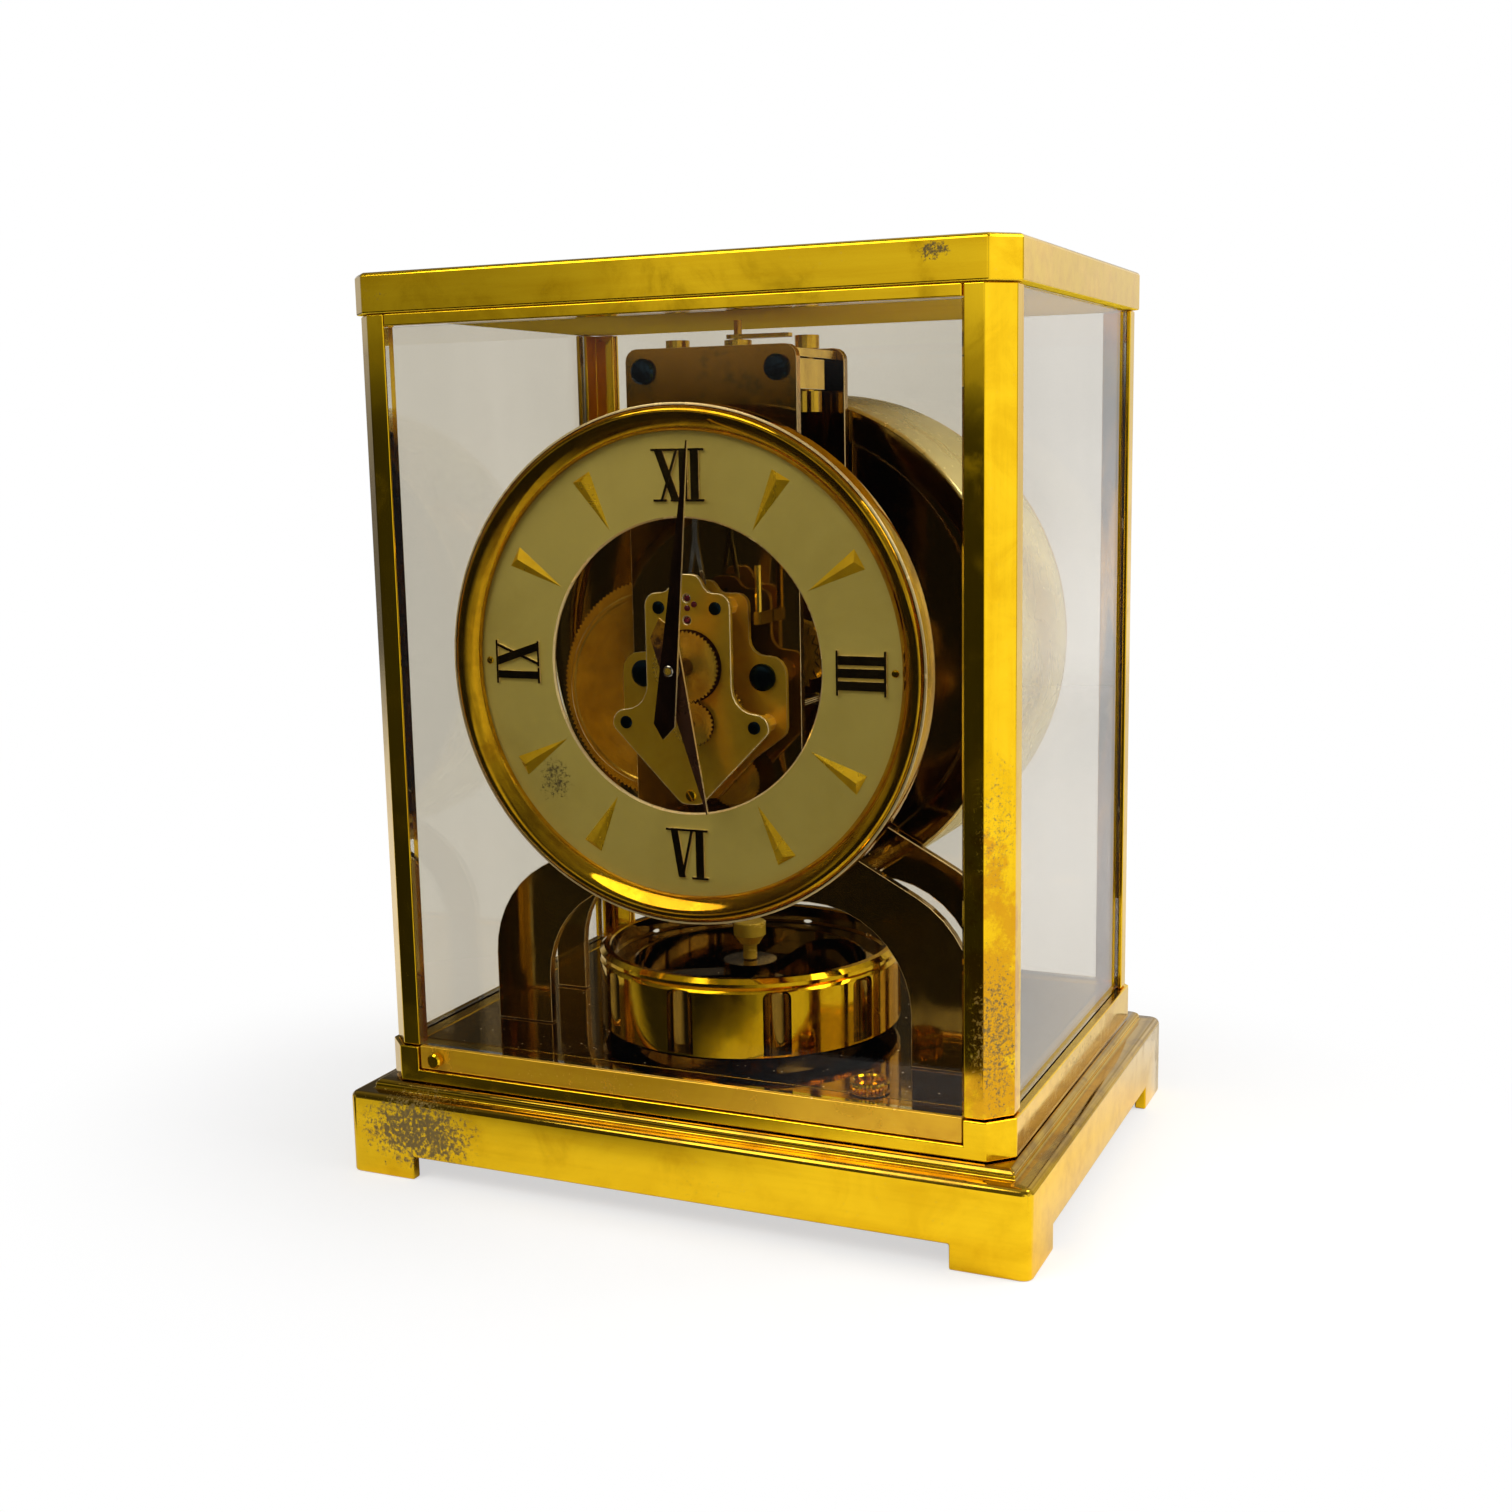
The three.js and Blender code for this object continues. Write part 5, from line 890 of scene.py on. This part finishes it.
def drum():
    """Open drum with a dark turned face and a satin side that carries a painted pale sheen."""
    front, back, wall, corner = 2.7, 46.7, 1.4, 1.0
    inside = DRUM_RADIUS - wall
    profile = [
        (0, front + 0.8), (56.6, front + 0.8), (57.0, front + 0.7), (57.6, front + 0.1),
        (58.0, front), *arc((DRUM_RADIUS - corner, front + corner), corner, -90, 0, 5),
        (DRUM_RADIUS, back), (inside, back), (inside, front + 2.2), (0, front + 2.2),
    ]
    piece = turned(
        "drum_housing", profile, DRUM_CENTRE, "case", "mirror_brass", drum_mirror, drum_side_sheen,
        steps=180, crease=25,
    )
    # Painted sheen on the outer side of the drum
    paint_faces(piece.data, DRUM_CENTRE, lambda radius, place: radius > DRUM_RADIUS - 0.8)
    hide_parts("bellows_drum")


def drum_cover():
    """Back of the drum, pressed with a raised middle inside a flat rim."""
    front, rim, middle = 46.75, 48.35, 50.35
    profile = [
        (0, front), (DRUM_RADIUS, front), (DRUM_RADIUS, rim - 0.35), (65.05, rim), (60.9, rim),
        (60.4, rim + 0.15), (58.9, middle - 0.3), (58.2, middle), (0, middle),
    ]
    piece = turned(
        "drum_back", profile, DRUM_CENTRE, "case", "polished_brass", round_brass,
        steps=180, crease=40,
    )
    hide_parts("bellows_drum_cover")


drum()
drum_cover()


# Dial, numerals, markers and bezel

DIAL_CENTRE = (0, 131.2)


def raised(name, outline, front, height, chamfer, body, slot, top, side):
    """A flat form with a chamfered face. The outline lies across X and Z."""
    form = bmesh.new()
    back_row = [form.verts.new(Vector((x, front + height, z)) * MM) for x, z in outline]
    face_row = [form.verts.new(Vector((x, front + chamfer, z)) * MM) for x, z in outline]
    form.faces.new(back_row)
    face = form.faces.new(face_row)
    for i in range(len(outline)):
        j = (i + 1) % len(outline)
        form.faces.new((back_row[i], back_row[j], face_row[j], face_row[i]))
    bmesh.ops.inset_region(form, faces=[face], thickness=chamfer * MM, use_even_offset=True)
    for vert in face.verts:
        vert.co.y = front * MM
    for other in form.faces:
        other.material_index = 0 if other is face else 1
    mesh = finished(name, form, 10)
    return link(name, mesh, body, slot, top, side)


def merged(name, pieces):
    """Joins pieces of one numeral into one."""
    bpy.ops.object.select_all(action="DESELECT")
    for piece in pieces:
        piece.select_set(True)
    bpy.context.view_layer.objects.active = pieces[0]
    bpy.ops.object.join()
    pieces[0].name = name


HALF_NUMERAL = 6.1
SERIF = 0.55
NUMERAL_RISE = 0.55
NUMERAL_CHAMFER = 0.28
THIN_STROKE = 1
THIN_STROKE_CHAMFER = NUMERAL_CHAMFER * 0.6
STROKE_STEP = 0.012


def slant(top, bottom, width):
    end = HALF_NUMERAL - SERIF / 2
    half = width / 2
    return [(bottom - half, -end), (bottom + half, -end), (top + half, end), (top - half, end)]


def stem(centre, width=2.1):
    return slant(centre, centre, width)


def serif(left, right, side):
    low, high = sorted((side * HALF_NUMERAL, side * (HALF_NUMERAL - SERIF)))
    return [(left, low), (right, low), (right, high), (left, high)]


# Middle of each numeral from the dial's centre, its turn in degrees and its strokes
NUMERALS = {
    "twelve": ((0, 44.9), 0, [
        slant(-5.0, -0.6, 2.1), slant(-0.2, -4.2, 0.7), stem(1.45), stem(4.35),
        serif(-6.85, 6.8, 1), serif(-6.4, -2.9, -1), serif(-1.9, 6.8, -1),
    ]),
    "three": ((44.9, 0), -90, [
        stem(-2.9), stem(0), stem(2.9), serif(-5.2, 5.2, 1), serif(-5.2, 5.2, -1),
    ]),
    "six": ((0, -44.9), 0, [
        slant(-3.3, -1.4, 1.9), slant(1.4, -1.3, 0.7), stem(3.4),
        serif(-5.5, 5.6, 1), serif(1.2, 5.6, -1),
    ]),
    "nine": ((-44.9, 0), 90, [
        stem(-3.1, 1.9), slant(0.15, 4.0, 2.1), slant(4.3, -0.3, 0.7),
        serif(-5.35, 5.35, 1), serif(-5.1, -1.2, -1), serif(-0.9, 5.35, -1),
    ]),
}


def numeral(name, middle, turn, strokes):
    """Applied Roman numeral. Each stroke lies a hair above the one before it."""
    sine, cosine = math.sin(math.radians(turn)), math.cos(math.radians(turn))
    x, z = DIAL_CENTRE[0] + middle[0], DIAL_CENTRE[1] + middle[1]
    pieces = []
    for i, stroke in enumerate(strokes):
        outline = [(x + u * cosine - v * sine, z + u * sine + v * cosine) for u, v in stroke]
        width = stroke[1][0] - stroke[0][0]
        chamfer = NUMERAL_CHAMFER if width > THIN_STROKE else THIN_STROKE_CHAMFER
        # Painted dark reflection on the faces of the strokes and painted highlight on their
        # chamfers
        pieces.append(raised(
            f"{name}_{i}", outline, DIAL_FACE - NUMERAL_RISE - STROKE_STEP * i, NUMERAL_RISE,
            chamfer, "case", "gilt_brass", dark_reflection_gilt, painted_highlight_edge,
        ))
    merged("numeral_" + name, pieces)


def marker(hour):
    """Faceted wedge, its wide end outward, with a ridge along its middle."""
    angle = math.radians(30 * hour)
    outward = Vector((math.sin(angle), 0, math.cos(angle)))
    across = Vector((math.cos(angle), 0, -math.sin(angle)))
    middle = Vector((DIAL_CENTRE[0], DIAL_FACE, DIAL_CENTRE[1]))
    form = bmesh.new()

    def point(out, side, rise):
        return form.verts.new((middle + outward * out + across * side - Vector((0, rise, 0))) * MM)

    corners = ((51.6, -2.6), (51.6, 2.6), (37.1, 0))
    left, right, tip = [point(out, side, 0.05) for out, side in corners]
    ridge = point(50.4, 0, 1.0)
    foot_left, foot_right, foot_tip = foot = [point(out, side, -0.02) for out, side in corners]
    for face in (
        (left, tip, ridge), (tip, right, ridge), (right, left, ridge),
        (left, right, foot_right, foot_left), (right, tip, foot_tip, foot_right),
        (tip, left, foot_left, foot_tip), foot,
    ):
        form.faces.new(face)
    link(f"marker_{hour}", finished(f"marker_{hour}", form, 5), "case", "gilt_brass", satin_gilt)


def dial_face():
    """Flat ring with a painted highlight on the chamfer round its opening."""
    inner, outer, chamfer = 35.0, 57.0, 0.4
    back = DIAL_FACE + 0.9
    profile = [
        (inner, back), (inner, DIAL_FACE + 0.45), (inner + chamfer, DIAL_FACE), (outer, DIAL_FACE),
        (outer, back),
    ]
    piece = turned(
        "dial_face", profile, DIAL_CENTRE, "case", "silvered_dial", dial_satin, painted_highlight_edge,
        steps=180,
    )
    paint_faces(piece.data, DIAL_CENTRE, lambda radius, place: radius < 35.35)
    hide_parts("dial_ring")


def bezel():
    """Rounded rim with a groove, a wide polished slope and a thin inner lip."""
    back = -46.6
    profile = [
        (60.3, back), (61.5, back), (61.5, -51.9), (61.4, -52.12), (61.2, -52.2), (60.95, -52.2),
        (60.85, -52.0), (60.65, -52.35), (60.35, -52.75), (59.9, -53.05), (59.3, -53.15),
        (58.5, -52.95), (57.5, -52.4), (56.5, -51.7), (55.7, -51.0), (55.2, -50.45),
        (55.1, -50.1), (55.1, -49.3), (60.3, -49.3),
    ]
    piece = turned(
        "bezel_rim", profile, DIAL_CENTRE, "case", "polished_brass", bezel_brass, painted_highlight_edge,
        steps=220, crease=40,
    )
    # Painted highlight: a pale line on the outer rim of the bezel
    paint_faces(piece.data, DIAL_CENTRE, lambda radius, place: radius > 61.05 and place < -52)
    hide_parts("bezel")


dial_face()
bezel()
for name, (middle, turn, strokes) in NUMERALS.items():
    numeral(name, middle, turn, strokes)
for hour in (1, 2, 4, 5, 7, 8, 10, 11):
    marker(hour)


# Hands

HAND_THICKNESS = 0.7
HAND_CHAMFER = 0.45
HAND_TIP = 0.16


def hand(name, body, node, face, front, length, tail, half_width, widest, boss, turn):
    """A long lozenge, dark on its face, with painted highlight on its chamfers and a turned boss.
    Length, tail and the widest place are distances from the dial's centre.
    """
    sine, cosine = math.sin(math.radians(turn)), math.cos(math.radians(turn))
    lozenge = (
        (HAND_TIP, length), (-HAND_TIP, length), (-half_width, -widest), (0, -tail),
        (half_width, -widest),
    )
    x, z = DIAL_CENTRE
    outline = [(x + u * cosine + v * sine, z - u * sine + v * cosine) for u, v in lozenge]
    blade = raised(
        name, outline, front, HAND_THICKNESS, HAND_CHAMFER, body, "lacquered_hands", face,
        painted_highlight_edge,
    )
    foot, top = front - 0.02, front - 0.24
    profile = [
        (boss * 0.45, foot), (boss * 0.45, top), (boss * 0.85, top), (boss, front - 0.1),
        (boss, foot),
    ]
    turned(name + "_boss", profile, DIAL_CENTRE, body, "lacquered_hands", steel, steps=48)
    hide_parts(node)


hand(
    "hour_blade", "hour_tube", "hour_hand", worn_steel, front=-55.3, length=34.7, tail=12.5,
    half_width=3.4, widest=8.5, boss=2.2, turn=166.2,
)
hand(
    "minute_blade", "centre_arbor", "minute_hand", brown_steel, front=-57.0, length=53.2,
    tail=16.3, half_width=2.7, widest=12.8, boss=1.3, turn=6.5,
)


# Pendulum

PENDULUM_CENTRE = (0, -14)
RING_RADIUS = 38.8
RING_WALL = 9
RING_LIP = 2.9
RING_BOTTOM = 36.2
RING_TOP = 56.5
RING_EDGE = 0.18
FLUTES = 10
FLUTE_PHASE = 2.4
FLUTE_WIDTH = 7
FLUTE_DEPTH = 3.4
FLUTE_TOP_MARGIN = 3.3
FLUTE_BOTTOM_MARGIN = 1.2
FLUTE_CORNER = 1.6


def pendulum_ring():
    """Heavy ring with a rim over a chamfered band of round-topped flutes."""
    inner = RING_RADIUS - RING_WALL
    lip = RING_RADIUS - RING_LIP
    outer = RING_RADIUS
    profile = [
        (inner, RING_BOTTOM + 0.4), (inner + 0.4, RING_BOTTOM), (outer - 0.8, RING_BOTTOM),
        (outer, RING_BOTTOM + 0.8), (outer, 53.0), (outer - 1.25, 54.25), (outer - 1.3, 54.4),
        (outer - 0.15, 54.4), (outer, 54.55), (outer, 55.4), (outer - 1.1, RING_TOP),
        (lip + 0.3, RING_TOP), (lip, RING_TOP - 0.3), (lip, 52.4), (lip - 0.6, 51.8),
        (inner + 0.3, 51.8), (inner, 51.5),
    ]
    ring = turned(
        "fluted_ring", profile, PENDULUM_CENTRE, "pendulum", "polished_brass", ring_brass,
        dark_mirror, axis="Z", steps=240,
    )
    scoop = FLUTE_WIDTH / 2
    reach = outer - FLUTE_DEPTH + scoop
    bottom, top = RING_BOTTOM + FLUTE_BOTTOM_MARGIN, RING_TOP - FLUTE_TOP_MARGIN
    side = [
        (0, bottom), (scoop, bottom),
        *arc((scoop - FLUTE_CORNER, top - FLUTE_CORNER), FLUTE_CORNER, 0, 90, 6), (0, top),
    ]
    cutters = []
    for i in range(FLUTES):
        angle = math.radians(360 * i / FLUTES - FLUTE_PHASE)
        middle = (
            PENDULUM_CENTRE[0] + reach * math.sin(angle),
            PENDULUM_CENTRE[1] - reach * math.cos(angle),
        )
        cutters.append(tool(f"flute_{i}", lathe(side, middle, "Z", 72)))
    carved(ring, *cutters)

    # Painted shade: faces inside the lip and in the flutes get the dark mirror brass
    def inside_or_in_flute(radius, place):
        return radius < lip + 0.01 or (place < top and radius < outer - 0.35)

    paint_faces(ring.data, PENDULUM_CENTRE, inside_or_in_flute, "Z")
    ease(ring, RING_EDGE)
    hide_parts("pendulum_ring")


def pendulum_collar():
    """Round collar over a knurled cone on a slim neck."""
    profile = [
        (0, 51.3), (1.8, 51.3), (1.8, 54.9), (2.5, 55.2), (2.7, 55.6), (3.8, 57.3), (4.2, 57.6),
        (4.2, 60.9), (3.9, 61.2), (0, 61.2),
    ]
    piece = turned(
        "knurled_collar", profile, PENDULUM_CENTRE, "pendulum", "polished_brass", painted_light_gilt,
        axis="Z", steps=80, ribs={4: 0.45, 5: 0.55}, crease=25,
    )
    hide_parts("pendulum_collar")


pendulum_ring()
pendulum_collar()


# Table, lamps and surroundings

FLOOR_FRONT = -0.18
FLOOR_BACK = 2.2
FLOOR_SIDE = 1.6
FLOOR_LIFT = 0.6


def looked_at_directly(tree):
    """1 where the eye sees straight to this surface, or sees it through glass."""
    path = add(tree, "LightPath").outputs
    straight = calculate(tree, "MAXIMUM", path["Is Camera Ray"], path["Is Transmission Ray"])
    mirrored = calculate(tree, "ADD", path["Glossy Depth"], path["Diffuse Depth"])
    return calculate(tree, "MULTIPLY", straight, calculate(tree, "LESS_THAN", mirrored, 0.5))


def floor():
    """The pale table. It keeps the clock's shadow, turns white away from the clock and melts away
    before its far edge. In mirror-bright brass its front left is dark.
    """
    made, tree, shader = new_material("pale table")
    shader.inputs["Roughness"].default_value = 0.9
    shader.inputs["Specular IOR Level"].default_value = 0.1
    place = place_in_object(tree)
    stretched = add(tree, "VectorMath", {0: place, 1: (1, 1.3, 1)}, operation="MULTIPLY")
    away = add(tree, "VectorMath", {0: stretched.outputs[0]}, operation="LENGTH").outputs["Value"]
    mottle = add(tree, "TexNoise", {"Vector": place, "Scale": 5.0, "Detail": 3.0}).outputs["Fac"]
    pale = blend_colours(tree, mottle, (0.92, 0.92, 0.92, 1), (0.95, 0.95, 0.95, 1))
    path = add(tree, "LightPath").outputs
    beyond_mirror = calculate(tree, "GREATER_THAN", path["Glossy Depth"], 0.5)
    mirrored = calculate(tree, "MAXIMUM", path["Is Glossy Ray"], beyond_mirror)
    towards_viewer = spread(tree, part_of(tree, place, "Y"), -0.09, -0.125)
    leftward = spread(tree, part_of(tree, place, "X"), 0.035, -0.05)
    dim = product(tree, mirrored, towards_viewer, leftward)
    colour = blend_colours(tree, dim, pale, (0.03, 0.03, 0.03, 1))
    tree.links.new(colour, shader.inputs["Base Color"])
    white = add(tree, "Emission", {"Color": (1, 1, 1, 1), "Strength": 1.0})
    fade = spread(tree, away, 0.12, 0.23)
    lifted = calculate(tree, "ADD", product(tree, fade, 1.0 - FLOOR_LIFT), FLOOR_LIFT)
    share = product(tree, lifted, looked_at_directly(tree))
    both = add(tree, "MixShader", {0: share, 1: shader.outputs[0], 2: white.outputs[0]})
    far_off = spread(tree, away, 0.5, 1.6)
    clear = add(tree, "BsdfTransparent")
    melted = add(tree, "MixShader", {0: far_off, 1: both.outputs[0], 2: clear.outputs[0]})
    tree.links.new(melted.outputs[0], tree.nodes["Material Output"].inputs["Surface"])
    form = bmesh.new()
    corners = (
        (-FLOOR_SIDE, FLOOR_FRONT), (FLOOR_SIDE, FLOOR_FRONT), (FLOOR_SIDE, FLOOR_BACK),
        (-FLOOR_SIDE, FLOOR_BACK),
    )
    form.faces.new([form.verts.new((x, y, 0)) for x, y in corners])
    mesh = bpy.data.meshes.new("table")
    form.to_mesh(mesh)
    form.free()
    mesh.materials.append(made)
    table = bpy.data.objects.new("table", mesh)
    bpy.context.scene.collection.objects.link(table)


def lamp(name, place, target, size, power, tone=(1, 1, 1)):
    light = bpy.data.lights.new(name, "AREA")
    light.shape = "DISK"
    light.size = size
    light.energy = power
    light.color = tone
    made = bpy.data.objects.new(name, light)
    made.location = place
    made.rotation_euler = (Vector(target) - Vector(place)).to_track_quat("-Z", "Y").to_euler()
    bpy.context.scene.collection.objects.link(made)


# Light of the surroundings, where 1 is white
SHADE = 0.03
BRIGHT_SIDE_LIGHT = 0.65
PAST_CLOCK_LIGHT = 0.35
DARK_PANEL_LIGHT = 0.08
BRIGHTEST = 1.25


def surroundings():
    """A pale room that is white behind the clock and darker behind whoever looks at it."""
    world = bpy.data.worlds.new("studio")
    bpy.context.scene.world = world
    world.use_nodes = True
    tree = world.node_tree
    backdrop = tree.nodes["Background"]
    backdrop.inputs["Color"].default_value = (1, 1, 1, 1)
    direction = add(tree, "TexCoord").outputs["Generated"]
    towards = add(tree, "SeparateXYZ", {0: direction}).outputs

    def zone(*steps):
        """The product of smooth steps, each along one axis of the direction."""
        return product(tree, *(spread(tree, towards[axis], *ends) for axis, *ends in steps))

    def blend(share, first, second):
        return add(tree, "Mix", {0: share, 2: first, 3: second}, data_type="FLOAT").outputs[0]

    behind_viewer = zone(("Y", 0.3, -0.3), ("X", 0.55, 0.15))
    far_left = zone(("Y", 0.75, 0.5), ("X", -0.5, -0.8))
    shaded_side = calculate(tree, "MAXIMUM", behind_viewer, far_left)
    over_eye = zone(("Z", 0.01, 0.08), ("Z", 0.34, 0.2), ("X", -0.62, -0.26, 0.3, 1.0))
    shaded = calculate(tree, "ADD", over_eye, SHADE)
    walls = zone(("Z", -0.2, 0.3, 0.6, 0.85))
    bright_side = zone(("X", 0.48, 0.75), ("Y", 0.3, -0.1))
    past_clock = zone(("Y", 0.6, 0.9), ("X", 0.0, 0.2))
    ceiling = zone(("Y", -0.55, -0.1, 0.3, 0.85), ("X", -0.45, 0.1, 0.3, 1.0))
    dark_panel = zone(("Z", 0.14, 0.2), ("Z", 0.7, 0.55), ("Y", 0.3, 0.5), ("X", -0.2, -0.28))
    lit = calculate(tree, "ADD", walls, product(tree, bright_side, BRIGHT_SIDE_LIGHT))
    lit = calculate(tree, "ADD", lit, product(tree, past_clock, PAST_CLOCK_LIGHT))
    total = blend(shaded_side, lit, shaded)
    total = blend(zone(("Z", 0.25, 0.55)), total, ceiling)
    total = blend(dark_panel, total, DARK_PANEL_LIGHT)
    streaks = add(
        tree, "TexNoise", {"Vector": direction, "Scale": 5.0, "Detail": 2.0},
    ).outputs["Fac"]
    total = product(tree, total, spread(tree, streaks, 0.38, 0.62, 0.75, 1.15))
    tree.links.new(calculate(tree, "MINIMUM", total, BRIGHTEST), backdrop.inputs["Strength"])
    direct = looked_at_directly(tree)
    white = add(tree, "Background", {"Color": (1, 1, 1, 1), "Strength": 1.0})
    both = add(tree, "MixShader", {0: direct, 1: backdrop.outputs[0], 2: white.outputs[0]})
    tree.links.new(both.outputs[0], tree.nodes["World Output"].inputs["Surface"])


floor()
surroundings()
lamp("key lamp", (0.75, 0.15, 0.85), (0, 0, 0.1), 0.55, 6.0, (1, 0.98, 0.95))
lamp("fill lamp", (-0.35, -0.7, 0.95), (0, 0, 0.12), 0.7, 6.2)
bpy.context.scene.view_settings.view_transform = "Standard"
